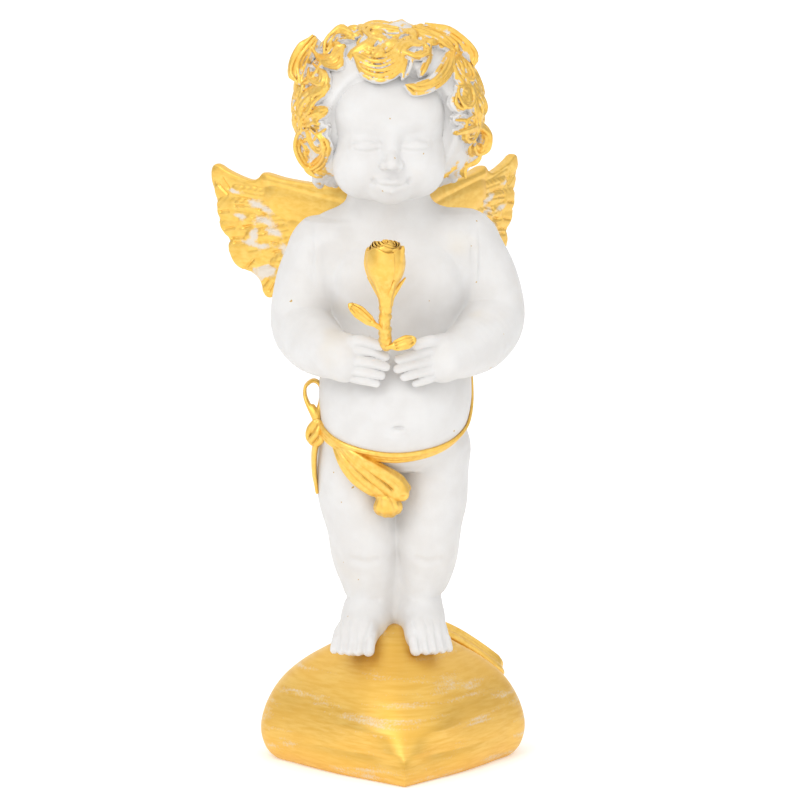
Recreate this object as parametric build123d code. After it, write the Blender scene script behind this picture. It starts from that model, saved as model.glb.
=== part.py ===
"""Cast-resin cherub that stands on a puffed heart and holds a rosebud.

The figure faces -Y and stands on the XY plane. +X runs towards the figure's left hand. Millimetres.
Every casting is its own solid. Neighbours meet face to face in glued seats, and the joints that carry
weight have tenons or dowels.
"""

import math
import os

from build123d import *

# Heart base
FELT = 1.0                   # felt pad under the base
BASE_TOP = 32.5              # crown of the heart
BASE_HALF_WIDTH = 30.5
BASE_TIP_Y = -33.0           # the heart's point, towards the viewer
BASE_LOBE_Y = 26.0           # back of the two lobes
BASE_CLEFT_Y = 17.0
# Each level of the heart: height, its width as a share of the widest, its point's share of BASE_TIP_Y
HEART_PROFILE = [(FELT, 0.95, 0.98), (5.6, 1.0, 1.0), (13.3, 0.92, 0.93), (21.0, 0.73, 0.81),
                 (26.5, 0.54, 0.67), (30.2, 0.33, 0.48), (BASE_TOP, 0.12, 0.2)]
FELT_SHARE = 0.84            # the felt's outline as a share of the heart's

# Figure
HIP_Z = 74.0                 # plane where the leg casting meets the torso
NECK_Z = 130.0               # plane where the torso ends
HEAD_CENTRE = (0.0, -1.0, 151.5)
HEAD_RADIUS = 17.9
NECK_RADIUS = 9.5
HAIR_CENTRE = (-1.2, 1.3, 153.6)
HAIR_RADIUS = 20.0
# Rings of curls: height over HAIR_CENTRE, ring radius, curl radius, how many, first and last angle from +X
CURL_RINGS = [(-9.3, 17.9, 4.5, 8, -32, 212), (0.7, 19.6, 4.7, 9, -44, 224), (10.1, 16.7, 4.9, 10, -70, 250),
              (16.3, 8.8, 5.1, 5, -50, 230)]
FACE_CENTRE = (0.3, -22.5, 146.3)
FACE_RADIUS = 17.3           # ball-shaped hollow in the hair that bares the face

# Glued joints
DOWEL_R = 1.5
PEG_R = 2.5
HIP_PEG_R = 6.0
HIP_PEG_LENGTH = 5.0
WING_PEG_R = 1.4

# Wings
WING_ROOT = (5.5, 8.0)       # where a wing leaves the back, x and y
WING_SWEEP = {"left": 52.3, "right": 33.5}   # degrees back from straight out
WING_THICK = 2.6
COVERT_THICK = 4.2           # the short feathers near the shoulder stand proud
WING_PEG_Z = 121.0

# Sash
BELT_STAND = 1.3             # how far the belt stands off the body
BELT_WIDTH = 3.2
BELT_POINT = (0.0, -3.0, 81.5)
BELT_NORMAL = (-0.25, -0.45, 1.0)

# Rose
ROSE_X = -4.1
ROSE_Y = -26.4
BLOOM_BASE_Z = 114.7
BLOOM_TOP_Z = 127.3
BLOOM_R = 4.6
CALYX_PROFILE = [(-2.2, 1.5), (-0.6, 2.5), (1.4, 3.6)]   # height over the bud's base, radius
STEM_R = 1.3
STEM_FOOT_Z = 93.5

OUT = "parts"


def level_ellipse(x, y, z, rx, ry):
    """A level elliptical section."""
    return Plane((x, y, z)) * Ellipse(rx, ry)


def tower(stations):
    """A body lofted through level ellipses, each (x, y, z, rx, ry)."""
    return loft([level_ellipse(*s) for s in stations])


def limb(stations):
    """A bent limb lofted through circles square to its path, each (x, y, z, r)."""
    points = [Vector(*s[:3]) for s in stations]
    sections = []
    for i, station in enumerate(stations):
        ahead = points[min(i + 1, len(points) - 1)] - points[max(i - 1, 0)]
        sections.append(Plane(origin=points[i], z_dir=ahead) * Circle(station[3]))
    return loft(sections)


def band(stations, face_dir):
    """A body of flat sections lofted along a path and turned square to face_dir.

    Each station is (x, y, z, half width, half thickness).
    """
    points = [Vector(*s[:3]) for s in stations]
    sections = []
    for i, station in enumerate(stations):
        ahead = (points[min(i + 1, len(points) - 1)] - points[max(i - 1, 0)]).normalized()
        across = ahead.cross(Vector(*face_dir)).normalized()
        sections.append(Plane(origin=points[i], x_dir=across, z_dir=ahead) * Ellipse(station[3], station[4]))
    return loft(sections)


def ball(centre, radii):
    """An ellipsoid."""
    return Pos(*centre) * scale(Sphere(1), by=radii)


def rod(start, end, radius):
    """A round rod from one point to another."""
    start, end = Vector(*start), Vector(*end)
    return extrude(Plane(origin=start, z_dir=end - start) * Circle(radius), (end - start).length)


def cut(body, *tools):
    """The largest solid that is left of body when the tools are taken away."""
    for tool in tools:
        body = body - tool
    return max(body.solids(), key=lambda s: s.volume)


# Heart base


def heart_section(z, share, tip_share):
    """The heart's outline at one height: a curve each side from the point to the cleft."""
    w, cleft, lobe = (share * v for v in (BASE_HALF_WIDTH, BASE_CLEFT_Y, BASE_LOBE_Y))
    tip = tip_share * BASE_TIP_Y
    half = Spline(
        (0, tip), (0.54 * w, 0.5 * tip), (w, 0.22 * lobe), (0.52 * w, lobe), (0, cleft),
        tangents=[(1.0, 0.85), (-0.35, -1.0)],
    )
    return Plane((0, 0, z)) * make_face([half.edge(), half.mirror(Plane.YZ).edge()])


def heart_base():
    """The puffed heart casting, flat underneath."""
    return loft([heart_section(*level) for level in HEART_PROFILE])


def felt_pad():
    """Felt glued under the heart."""
    return extrude(heart_section(0, FELT_SHARE, FELT_SHARE), FELT)


def base_ribbon():
    """Folded end of drapery that lies over the back of the heart, on the figure's left."""
    return band([(8.0, 9.5, 32.0, 3.0, 1.6), (15.0, 12.0, 30.2, 4.4, 2.2), (21.5, 13.0, 25.4, 5.0, 2.4),
                 (26.0, 13.0, 19.4, 3.6, 1.6)], (0.5, 0.3, 1.0))


# Figure


def leg(side):
    """One leg from the hip to inside the foot."""
    stations = [(8.2, 1.0, HIP_Z, 9.4, 12.0), (8.5, 0.7, 69.0, 9.2, 11.2), (8.6, 0.3, 62.0, 8.5, 9.8),
                (7.9, 0.0, 54.0, 7.9, 8.6), (7.2, 0.8, 46.5, 7.1, 7.5), (6.8, 1.4, 39.5, 5.4, 6.0),
                (7.4, 1.2, 34.5, 5.2, 6.2), (7.8, 1.0, 30.5, 5.0, 6.2)]
    return tower([(side * x, y, z, rx, ry) for x, y, z, rx, ry in stations])


def foot(side):
    """One foot, toes towards the viewer and following the slope of the heart."""
    stations = [(7.4, 7.4, 32.8, 3.2, 2.6), (7.8, 2.4, 32.8, 4.8, 4.4), (8.6, -3.6, 31.2, 5.6, 4.2),
                (9.2, -9.0, 28.8, 5.8, 3.4), (9.2, -12.6, 27.4, 4.4, 2.2)]
    return loft([Plane(origin=(side * x, y, z), x_dir=(1, 0, 0), z_dir=(0, -1, 0)) * Ellipse(rx, rz)
                 for x, y, z, rx, rz in stations])


def legs(base):
    """Both legs and feet in one casting that stands on the heart, with a peg for the torso."""
    pair = leg(-1) + leg(1) + foot(-1) + foot(1)
    return cut(pair, base) + hip_peg()


def hip_peg():
    """The peg that locates the torso on the legs."""
    return rod((0, 0, HIP_Z - 1), (0, 0, HIP_Z + HIP_PEG_LENGTH), HIP_PEG_R)


def torso_form(stand_off=0.0):
    """Chest and belly from the hip plane to the neck, optionally swollen by stand_off."""
    stations = [(0.0, 1.0, HIP_Z, 17.4, 12.6), (0.0, -1.8, 80.0, 18.6, 15.6), (0.0, -2.6, 87.0, 18.4, 15.8),
                (0.0, -1.8, 96.0, 16.8, 14.0), (0.0, -0.6, 106.0, 15.8, 12.0), (0.0, 0.0, 116.0, 16.8, 11.4),
                (0.0, 0.2, 124.0, 16.2, 10.2), (0.0, 0.4, NECK_Z, 12.0, 9.6)]
    return tower([(x, y, z, rx + stand_off, ry + stand_off) for x, y, z, rx, ry in stations])


# Arms, each (x, y, z, half height, half thickness) from the shoulder to the finger tips
ARM_STATIONS = {
    "right": [(-17.6, 0.8, 119.5, 7.2, 7.2), (-20.8, 0.4, 112.0, 7.3, 7.3), (-22.0, -3.0, 103.8, 6.9, 6.9),
              (-18.4, -12.0, 99.8, 6.1, 6.0), (-13.0, -18.4, 98.8, 5.0, 4.4), (-8.0, -20.6, 98.6, 5.6, 3.2),
              (-3.4, -21.2, 97.8, 4.2, 2.4)],
    "left": [(18.4, 0.8, 121.0, 7.2, 7.2), (22.0, 0.4, 113.0, 7.3, 7.3), (23.0, -3.0, 104.8, 6.9, 6.9),
             (18.4, -12.4, 100.0, 6.2, 6.2), (12.0, -18.6, 98.8, 5.1, 4.4), (6.0, -20.8, 98.6, 5.6, 3.2),
             (1.0, -21.4, 97.8, 4.2, 2.4)],
}
SHOULDER_SWELL = 0.5         # the shoulder's ball stands this much proud of the arm's first section


def arm(side):
    """An arm with its hand laid on the belly, before it is seated on the torso."""
    x, y, z, r, _ = ARM_STATIONS[side][0]
    return band(ARM_STATIONS[side], (0.3, -1, 0.6)) + Pos(x, y, z) * Sphere(r + SHOULDER_SWELL)


def shoulder_peg(side):
    """The peg that carries an arm, from inside the chest to inside the shoulder."""
    x, y, z = ARM_STATIONS[side][0][:3]
    return rod((0.45 * x, y, z - 2), (0.95 * x, y, z - 2), PEG_R)


def head():
    """Skull and face on a short neck."""
    skull = Pos(*HEAD_CENTRE) * Sphere(HEAD_RADIUS)
    return skull + rod((0, 0.4, NECK_Z), (0, 0.4, HEAD_CENTRE[2] - 8), NECK_RADIUS)


def hair(head_solid):
    """Curly cap that sits on the skull and leaves the face open."""
    centre = Vector(*HAIR_CENTRE)
    cap = Pos(centre) * Rot(0, 0, -90) * Sphere(HAIR_RADIUS)
    for height, ring, size, count, first, last in CURL_RINGS:
        for i in range(count):
            angle = math.radians(first + (last - first) * i / (count - 1))
            out = Vector(ring * math.cos(angle), ring * math.sin(angle), height)
            cap += Plane(origin=centre + out, z_dir=out) * Sphere(size)
    nape = Pos(0, 0, 126) * Box(80, 80, 20)
    return cut(cap, Pos(*FACE_CENTRE) * Sphere(FACE_RADIUS), nape, head_solid)


# Wings, drawn in their own plane: distance from the root, height above the table

WING_TOP_EDGE = [(0.0, 126.0), (7.0, 131.0), (15.5, 134.0), (24.0, 134.0), (30.5, 132.4), (37.6, 136.4)]
WING_TIP_EDGE = [(37.6, 136.4), (40.0, 134.0), (38.8, 126.0), (36.6, 118.5), (32.0, 111.6), (27.0, 108.4),
                 (23.6, 105.4)]
WING_LOWER_EDGE = [(23.6, 105.4), (20.0, 108.0), (12.0, 111.5), (0.0, 113.0)]
COVERT_EDGE = [(0.0, 125.0), (8.0, 130.0), (17.0, 132.0), (25.0, 129.0), (22.0, 121.0), (12.0, 116.0),
               (0.0, 115.0)]


def wing_plane(side):
    """The upright plane a wing lies in: x runs out from the root, y is up."""
    sign = 1 if side == "left" else -1
    sweep = math.radians(WING_SWEEP[side])
    out = Vector(sign * math.cos(sweep), math.sin(sweep), 0)
    return Plane(origin=(sign * WING_ROOT[0], WING_ROOT[1], 0), x_dir=out, z_dir=out.cross(Vector(0, 0, 1)))


def wing(side):
    """A wing: long feathers, with a thicker patch of short ones over them."""
    plane = wing_plane(side)
    closing = Line(WING_LOWER_EDGE[-1], WING_TOP_EDGE[0])
    outline = [Spline(*WING_TOP_EDGE), Spline(*WING_TIP_EDGE), Spline(*WING_LOWER_EDGE), closing]
    coverts = [Spline(*COVERT_EDGE), Line(COVERT_EDGE[-1], COVERT_EDGE[0])]
    blade = extrude(plane * make_face([e.edge() for e in outline]), WING_THICK / 2, both=True)
    patch = extrude(plane * make_face([e.edge() for e in coverts]), COVERT_THICK / 2, both=True)
    return blade + patch


def wing_peg(side):
    """The peg at a wing's root, which sits in a hole in the back."""
    sign = 1 if side == "left" else -1
    x, y = WING_ROOT
    return rod((sign * x, y + 3.5, WING_PEG_Z), (sign * x, y - 5.0, WING_PEG_Z), WING_PEG_R)


# Sash


def sash_belt(body):
    """The twisted cloth band round the hips, low over the belly and high at the back."""
    x, y, z = BELT_POINT
    slab = Plane(origin=BELT_POINT, z_dir=BELT_NORMAL) * Box(60, 60, BELT_WIDTH)
    return cut(torso_form(BELT_STAND) & slab, body)


def sash_knot():
    """The knot on the figure's right hip."""
    return ball((-18.0, -5.5, 77.0), (3.4, 3.6, 4.4))


def sash_bow_loop():
    """The loop of cloth that stands up from the knot, against the side."""
    return limb([(-19.0, -4.0, 80.0, 1.3), (-20.6, -2.6, 84.6, 1.2), (-20.8, -1.2, 88.8, 1.2),
                 (-18.0, 0.6, 91.0, 1.2), (-15.0, 1.6, 89.5, 1.2)])


def sash_front_tail():
    """The broad end of the sash, which hangs across the right thigh."""
    return band([(-17.0, -10.0, 77.0, 2.4, 1.8), (-12.6, -13.4, 73.6, 4.0, 2.0),
                 (-7.4, -13.6, 69.4, 4.4, 2.1), (-3.0, -12.6, 65.4, 4.2, 2.2), (-1.6, -11.4, 60.6, 2.6, 1.6)],
                (-0.25, -1.0, -0.1))


def sash_side_tail():
    """The narrow end of the sash, which hangs down the outside of the right thigh."""
    return band([(-18.6, -2.4, 76.0, 1.8, 1.4), (-18.9, -1.6, 70.0, 2.2, 1.3), (-18.2, -1.0, 62.5, 1.0, 0.8)],
                (-1, 0, 0))


# Rose


def rose_bloom():
    """The bud: closed petals round a hollow crown."""
    z0, z1, r, foot = BLOOM_BASE_Z, BLOOM_TOP_Z, BLOOM_R, STEM_R + 0.5
    side = Spline((foot, z0), (0.86 * r, z0 + 4.0), (r, z0 + 8.0), (0.86 * r, z1))
    crown = [Line((0.86 * r, z1), (0.5 * r, z1 - 2.2)), Line((0.5 * r, z1 - 2.2), (0, z1 - 1.4))]
    core = [Line((0, z1 - 1.4), (0, z0)), Line((0, z0), (foot, z0))]
    profile = make_face([e.edge() for e in [side, *crown, *core]])
    return Pos(ROSE_X, ROSE_Y, 0) * revolve(Plane.XZ * profile, Axis.Z)


def rose_calyx(bloom, stem):
    """The cup under the bud, with three sepals."""
    cup = tower([(ROSE_X, ROSE_Y, BLOOM_BASE_Z + rise, r, r) for rise, r in CALYX_PROFILE])
    sepal = band([(0, -1.8, BLOOM_BASE_Z - 0.4, 1.1, 0.9), (0, -3.8, BLOOM_BASE_Z + 2.2, 1.1, 0.8),
                  (0, -5.4, BLOOM_BASE_Z + 4.2, 0.5, 0.4)], (0, -1, 0))
    for angle in (-60, 60, 180):
        cup += Pos(ROSE_X, ROSE_Y, 0) * Rot(0, 0, angle) * sepal
    return cut(cup, bloom, stem)


def rose_stem():
    """The stem, from the bud down between the two hands."""
    return limb([(ROSE_X, ROSE_Y, BLOOM_BASE_Z, STEM_R), (ROSE_X, ROSE_Y, 108.0, STEM_R),
                 (ROSE_X + 0.9, ROSE_Y + 1.4, 101.0, STEM_R), (ROSE_X + 1.4, ROSE_Y + 3.4, STEM_FOOT_Z, 0.9)])


def rose_leaf(side):
    """A leaf on its own short stalk."""
    if side == "right":
        path = [(-4.6, -25.9, 106.0, 0.8, 0.6), (-7.6, -25.4, 108.4, 1.7, 0.9),
                (-10.2, -25.0, 110.6, 1.9, 0.9), (-12.0, -24.8, 112.2, 0.7, 0.5)]
    else:
        path = [(-2.4, -25.6, 101.6, 0.9, 0.7), (1.0, -25.9, 103.0, 2.0, 0.9),
                (4.4, -25.9, 104.2, 1.9, 0.9), (6.8, -25.6, 104.9, 0.7, 0.5)]
    return band(path, (0, -1, 0))


def ankle_dowels():
    """Steel dowels that pin the feet to the base."""
    return [rod((side * 7.4, 1.3, 20.0), (side * 7.4, 1.3, 42.0), DOWEL_R) for side in (-1, 1)]


def neck_dowel():
    """Steel dowel between the torso and the head."""
    return rod((0, 0.5, NECK_Z - 9), (0, 0.2, NECK_Z + 9), DOWEL_R)


def build():
    """Every sub-part by node name, seated so that none overlaps another."""
    ankles, neck = ankle_dowels(), neck_dowel()
    heart = heart_base()
    lower = legs(heart)
    body = torso_form()
    belt = cut(sash_belt(body), lower)
    pegs = {side: shoulder_peg(side) for side in ARM_STATIONS}
    stem = rose_stem()
    arms = {side: cut(arm(side), body, stem) + pegs[side] for side in ARM_STATIONS}
    skull = cut(head(), body, *arms.values())
    curls = hair(skull)
    wings = {side: cut(wing(side), body, skull, curls, *arms.values()) + wing_peg(side)
             for side in WING_SWEEP}
    knot = cut(sash_knot(), body, belt, lower)
    bloom = rose_bloom()
    parts = {
        "base_felt_pad": felt_pad(),
        "heart_base": cut(heart, *ankles),
        "base_ribbon": cut(base_ribbon(), heart, lower),
        "ankle_dowels": Compound(children=ankles),
        "legs": cut(lower, *ankles),
        "torso": cut(body, hip_peg(), *pegs.values(), neck, *(wing_peg(s) for s in WING_SWEEP)),
        "neck_dowel": neck,
        "arm_right": arms["right"],
        "arm_left": cut(arms["left"], arms["right"]),
        "head": cut(skull, neck),
        "hair": curls,
        "wing_right": wings["right"],
        "wing_left": wings["left"],
        "sash_belt": belt,
        "sash_knot": knot,
        "sash_bow_loop": cut(sash_bow_loop(), body, belt, knot, *arms.values()),
        "sash_front_tail": cut(sash_front_tail(), body, belt, knot, lower),
        "sash_side_tail": cut(sash_side_tail(), body, belt, knot, lower),
        "rose_bloom": bloom,
        "rose_calyx": rose_calyx(bloom, stem),
        "rose_stem": stem,
        "rose_leaf_right": cut(rose_leaf("right"), stem, *arms.values()),
        "rose_leaf_left": cut(rose_leaf("left"), stem, *arms.values()),
    }
    return parts


def main():
    os.makedirs(OUT, exist_ok=True)
    for name, shape in build().items():
        export_step(shape, f"{OUT}/{name}.step")


if __name__ == "__main__":
    main()
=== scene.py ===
"""Looks of the resin cherub. The heart and its felt are stacked outlines, and the other pieces are
sculpted as blocks of signed distance and meshed.

Sculpting is done in millimetres, in the frame's own axes: -Y is the way the figure faces, +Z is up.
"""
import math

import bpy
import numpy as np
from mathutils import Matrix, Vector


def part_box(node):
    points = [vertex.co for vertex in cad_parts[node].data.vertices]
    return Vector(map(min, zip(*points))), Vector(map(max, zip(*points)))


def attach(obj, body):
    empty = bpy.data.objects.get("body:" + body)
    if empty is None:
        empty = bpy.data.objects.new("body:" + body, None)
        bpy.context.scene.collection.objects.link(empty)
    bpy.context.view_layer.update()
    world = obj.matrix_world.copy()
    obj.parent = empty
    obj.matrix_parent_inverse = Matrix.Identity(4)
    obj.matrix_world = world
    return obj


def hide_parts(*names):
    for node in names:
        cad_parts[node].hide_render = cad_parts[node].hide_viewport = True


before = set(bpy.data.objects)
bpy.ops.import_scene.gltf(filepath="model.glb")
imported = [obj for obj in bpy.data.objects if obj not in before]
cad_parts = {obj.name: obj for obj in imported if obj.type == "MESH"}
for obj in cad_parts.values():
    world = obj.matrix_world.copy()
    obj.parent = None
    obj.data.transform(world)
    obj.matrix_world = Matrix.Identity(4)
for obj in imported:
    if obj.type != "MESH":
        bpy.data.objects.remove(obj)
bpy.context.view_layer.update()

import openvdb as vdb
from mathutils import Vector

MM = 0.001
FAR = 9.0                                   # distance stored where nothing is near, mm
COARSE = 1.0

# ---------------------------------------------------------------- clay: blocks of signed distance


def smooth_min(a, b, k):
    """The smaller of two distances, with a fillet of about k where they meet."""
    if np.max(k) <= 0:
        return np.minimum(a, b)
    h = np.maximum(k - np.abs(a - b), 0) / k
    return np.minimum(a, b) - h * h * k / 4


def largest_shell(points, quads):
    """The one shell that most points belong to, without loose crumbs."""
    label = np.arange(len(points))
    a, b = quads.ravel(), quads[:, [1, 2, 3, 0]].ravel()
    while (label[a] != label[b]).any():
        low = np.minimum(label[a], label[b])
        np.minimum.at(label, label[a], low)
        np.minimum.at(label, label[b], low)
        label = label[label]
    kept = label == np.bincount(label).argmax()
    return points[kept], (np.cumsum(kept) - 1)[quads[kept[quads[:, 0]]]]


class Clay:
    """A box of signed distances in millimetres, negative inside."""

    def __init__(self, low, high, step):
        self.step = step * COARSE
        self.low = np.array(low, float)
        self.shape = tuple((np.ceil((np.array(high) - self.low) / self.step) + 1).astype(int))
        self.d = np.full(self.shape, FAR, np.float32)
        self.skin = None                    # distances before a seat is cut, for shading across the seam

    def region(self, low, high):
        """Slices and open coordinate arrays of the part of the box between two corners."""
        start = np.clip(((np.array(low) - self.low) / self.step).astype(int), 0, self.shape)
        stop = np.clip(((np.array(high) - self.low) / self.step).astype(int) + 2, 0, self.shape)
        where = tuple(slice(a, b) for a, b in zip(start, stop))
        axes = [self.low[i] + self.step * np.arange(start[i], stop[i]) for i in range(3)]
        return where, np.ix_(*(axis.astype(np.float32) for axis in axes))

    def grid(self):
        """Open coordinate arrays of the whole box."""
        return self.region(self.low, self.low + self.step * np.array(self.shape))[1]

    def change(self, form, blend, cutting):
        """Blends a form into the clay, or cuts it out."""
        low, high, distance = form
        pad = blend + 3 * self.step
        where, axes = self.region(np.array(low) - pad, np.array(high) + pad)
        if min(s.stop - s.start for s in where) < 1:
            return
        d = distance(*axes, pad).astype(np.float32)
        if cutting:
            self.d[where] = -smooth_min(-self.d[where], d, blend)
        else:
            self.d[where] = smooth_min(self.d[where], d, blend)

    def add(self, form, blend=0.0):
        self.change(form, blend, cutting=False)

    def carve(self, form, blend=0.0):
        self.change(form, blend, cutting=True)

    def sample(self, points):
        """Distances at free points, between the grid's own."""
        at = np.clip((points - self.low) / self.step, 0, np.array(self.shape) - 1.001)
        cell = at.astype(int)
        f = (at - cell).astype(np.float32)
        total = 0
        for corner in np.ndindex(2, 2, 2):
            weight = np.prod(np.where(corner, f, 1 - f), axis=1)
            total = total + weight * self.d[tuple((cell + corner).T)]
        return total

    def slopes(self, points):
        """Unit directions in which the distance grows."""
        grad = np.empty((len(points), 3))
        for axis in range(3):
            nudge = np.zeros(3)
            nudge[axis] = self.step
            grad[:, axis] = self.sample(points + nudge) - self.sample(points - nudge)
        return grad / np.maximum(np.linalg.norm(grad, axis=1, keepdims=True), 1e-6)

    def surface(self):
        """Points and outward quads of the zero surface."""
        grid = vdb.FloatGrid()
        grid.copyFromArray(self.d)
        points, quads = largest_shell(*grid.convertToQuads(isovalue=0.0))
        points = points.astype(float) * self.step + self.low
        for _ in range(2):
            points = points - self.sample(points)[:, None] * self.slopes(points)
        return points, quads

    def recess(self, points, reach):
        """0 on open surface, towards 1 in hollows narrower than reach."""
        ahead = self.sample(points + self.slopes(points) * reach)
        return np.clip(1 - ahead / reach, 0, 1)

    def ridge(self, points, reach):
        """0 on broad surface, towards 1 on crests narrower than reach."""
        behind = self.sample(points - self.slopes(points) * reach)
        return np.clip(1 + behind / reach, 0, 1)


# ---------------------------------------------------------------- forms: (low corner, high corner, distance)


def spin(yaw=0.0, pitch=0.0, roll=0.0):
    """Rotation about Z, then X, then Y, degrees."""
    a, b, c = (math.radians(v) for v in (yaw, pitch, roll))
    rz = np.array([[math.cos(a), -math.sin(a), 0], [math.sin(a), math.cos(a), 0], [0, 0, 1]])
    rx = np.array([[1, 0, 0], [0, math.cos(b), -math.sin(b)], [0, math.sin(b), math.cos(b)]])
    ry = np.array([[math.cos(c), 0, math.sin(c)], [0, 1, 0], [-math.sin(c), 0, math.cos(c)]])
    return rz @ rx @ ry


def blob(centre, radii, turn=None):
    """An ellipsoid, turned about its centre."""
    centre, radii = np.array(centre, float), np.array(radii, float)
    turn = np.eye(3) if turn is None else turn
    reach = np.abs(turn) @ radii

    def distance(x, y, z, pad):
        p = [x - centre[0], y - centre[1], z - centre[2]]
        q = [sum(turn[j, i] * p[j] for j in range(3)) for i in range(3)]
        near = np.sqrt(sum((q[i] / radii[i]) ** 2 for i in range(3)))
        steep = np.sqrt(sum((q[i] / radii[i] ** 2) ** 2 for i in range(3)))
        return near * (near - 1) / np.maximum(steep, 1e-6)
    return centre - reach, centre + reach, distance


def rope(points, radii, flat=((0, 0, 1), 1.0)):
    """A tube of changing radius along points; flat=(direction, share) squashes it."""
    points = np.array(points, float)
    radii = np.broadcast_to(np.array(radii, float), (len(points),))
    reach = radii.max()
    way, share = np.array(flat[0], float), flat[1]
    way = way / np.linalg.norm(way)

    def distance(x, y, z, pad):
        best = np.full((x.size, y.size, z.size), reach + pad + 1, np.float32)
        for a, b, ra, rb in zip(points[:-1], points[1:], radii[:-1], radii[1:]):
            room = max(ra, rb) + pad
            ends = [(min(a[i], b[i]) - room, max(a[i], b[i]) + room) for i in range(3)]
            cuts = [slice(*np.searchsorted(axis.ravel(), ends[i])) for i, axis in enumerate((x, y, z))]
            if min(c.stop - c.start for c in cuts) < 1:
                continue
            run = (b - a).astype(np.float32)
            px, py, pz = x[cuts[0]] - a[0], y[:, cuts[1]] - a[1], z[:, :, cuts[2]] - a[2]
            t = np.clip((px * run[0] + py * run[1] + pz * run[2]) / max(run @ run, 1e-9), 0, 1)
            qx, qy, qz = px - t * run[0], py - t * run[1], pz - t * run[2]
            squared = qx * qx + qy * qy + qz * qz
            if share < 1:
                lift = qx * way[0] + qy * way[1] + qz * way[2]
                squared = squared + lift * lift * (1 / share ** 2 - 1)
            d = np.sqrt(squared) - (ra + (rb - ra) * t)
            best[tuple(cuts)] = np.minimum(best[tuple(cuts)], d)
        return best * min(1.0, share + 0.25)
    return points.min(0) - reach, points.max(0) + reach, distance


def curve_through(points, count, before=None):
    """Evenly timed points on a smooth curve through a few; it seems to come from the point before."""
    points = np.array(points, float)
    first = 2 * points[0] - points[1] if before is None else before
    padded = np.vstack([first, points, 2 * points[-1] - points[-2]])
    at = np.linspace(0, len(points) - 1 - 1e-9, count)
    i, t = at.astype(int), (at % 1)[:, None]
    p0, p1, p2, p3 = padded[i], padded[i + 1], padded[i + 2], padded[i + 3]
    return 0.5 * (2 * p1 + (p2 - p0) * t + (2 * p0 - 5 * p1 + 4 * p2 - p3) * t ** 2
                  + (3 * p1 - p0 - 3 * p2 + p3) * t ** 3)


def column(stations, square=2.0):
    """A body through level ellipses, each (x, y, z, rx, ry)."""
    fine = curve_through(stations, 40 * len(stations))
    fine = fine[np.argsort(fine[:, 2])]
    heights = fine[:, 2]
    low = (fine[:, :3] - np.column_stack([fine[:, 3], fine[:, 4], 0 * heights])).min(0)
    high = (fine[:, :3] + np.column_stack([fine[:, 3], fine[:, 4], 0 * heights])).max(0)

    def distance(x, y, z, pad):
        cx, cy, rx, ry = (np.interp(z, heights, fine[:, i]).astype(np.float32) for i in (0, 1, 3, 4))
        u, v = np.abs(x - cx) / rx, np.abs(y - cy) / ry
        side = ((u ** square + v ** square) ** (1 / square) - 1) * np.minimum(rx, ry)
        return np.maximum(side, np.abs(z - (low[2] + high[2]) / 2) - (high[2] - low[2]) / 2)
    return low, high, distance


def onto(clay, points, above):
    """Moves points onto the clay's surface, or that far above it."""
    points = np.array(points, float)
    for _ in range(4):
        points = points - (clay.sample(points) - above)[:, None] * clay.slopes(points)
    return points


def engrave(clay, path, radii, blend, above=0.0):
    """Carves a groove that follows the clay's surface."""
    clay.carve(rope(onto(clay, path, above), radii), blend)


# ---------------------------------------------------------------- the white body

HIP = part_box("legs")[1].z / MM - 5.0        # the legs' peg stands 5 mm over their seat
LAP = 0.8                                   # how far the torso casting runs on under its neighbours
SHRINK = 0.04                               # how far the torso lies under the skin that it shares with them
SIGN = {"right": -1, "left": 1}
TORSO = [
    (-0.6, 0.8, 71.0, 14.0, 9.0), (-1.0, 0.2, 74.0, 16.6, 12.0), (-1.1, -0.9, 77.5, 16.9, 14.0),
    (-0.5, -1.8, 82.0, 16.8, 15.2), (-0.1, -2.2, 87.5, 17.4, 15.2), (0.0, -1.6, 95.0, 17.4, 13.9),
    (0.4, -0.6, 104.0, 16.2, 12.0), (0.5, 0.0, 112.0, 16.4, 11.2), (0.2, 0.4, 119.0, 16.2, 10.6),
    (-0.2, 0.9, 124.5, 14.4, 9.4), (-0.8, 1.0, 129.0, 11.4, 8.6), (-1.4, 0.6, 133.0, 9.6, 8.4),
    (-1.8, 0.4, 140.0, 9.6, 8.4),
]
LEG = {
    "right": [(-6.6, 1.0, 26.0, 5.2, 6.0), (-6.6, 1.0, 30.0, 5.6, 6.2), (-6.1, 1.2, 35.0, 5.8, 6.0),
              (-5.8, 1.3, 38.5, 5.7, 6.0), (-6.0, 1.3, 42.5, 6.4, 7.0), (-6.7, 0.8, 48.0, 7.2, 8.0),
              (-7.7, 0.0, 54.5, 8.0, 8.5), (-8.8, 0.2, 61.0, 8.8, 9.5), (-9.2, 0.4, 68.5, 9.2, 10.6),
              (-8.5, 0.4, 75.0, 9.3, 10.6), (-7.6, 0.5, 80.0, 8.0, 8.5)],
    "left": [(6.2, 1.0, 26.0, 5.0, 6.0), (6.2, 1.0, 30.0, 5.3, 6.0), (5.9, 1.2, 35.0, 5.2, 5.9),
             (5.9, 1.3, 38.5, 5.2, 5.9), (6.6, 1.3, 42.5, 6.2, 7.0), (7.2, 0.8, 48.0, 7.0, 8.0),
             (7.4, 0.0, 54.5, 7.8, 8.5), (8.2, 0.2, 61.0, 8.5, 9.5), (8.4, 0.4, 68.5, 8.7, 10.6),
             (8.4, 0.4, 75.0, 9.2, 10.6), (7.8, 0.5, 80.0, 8.0, 8.5)],
}


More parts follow.
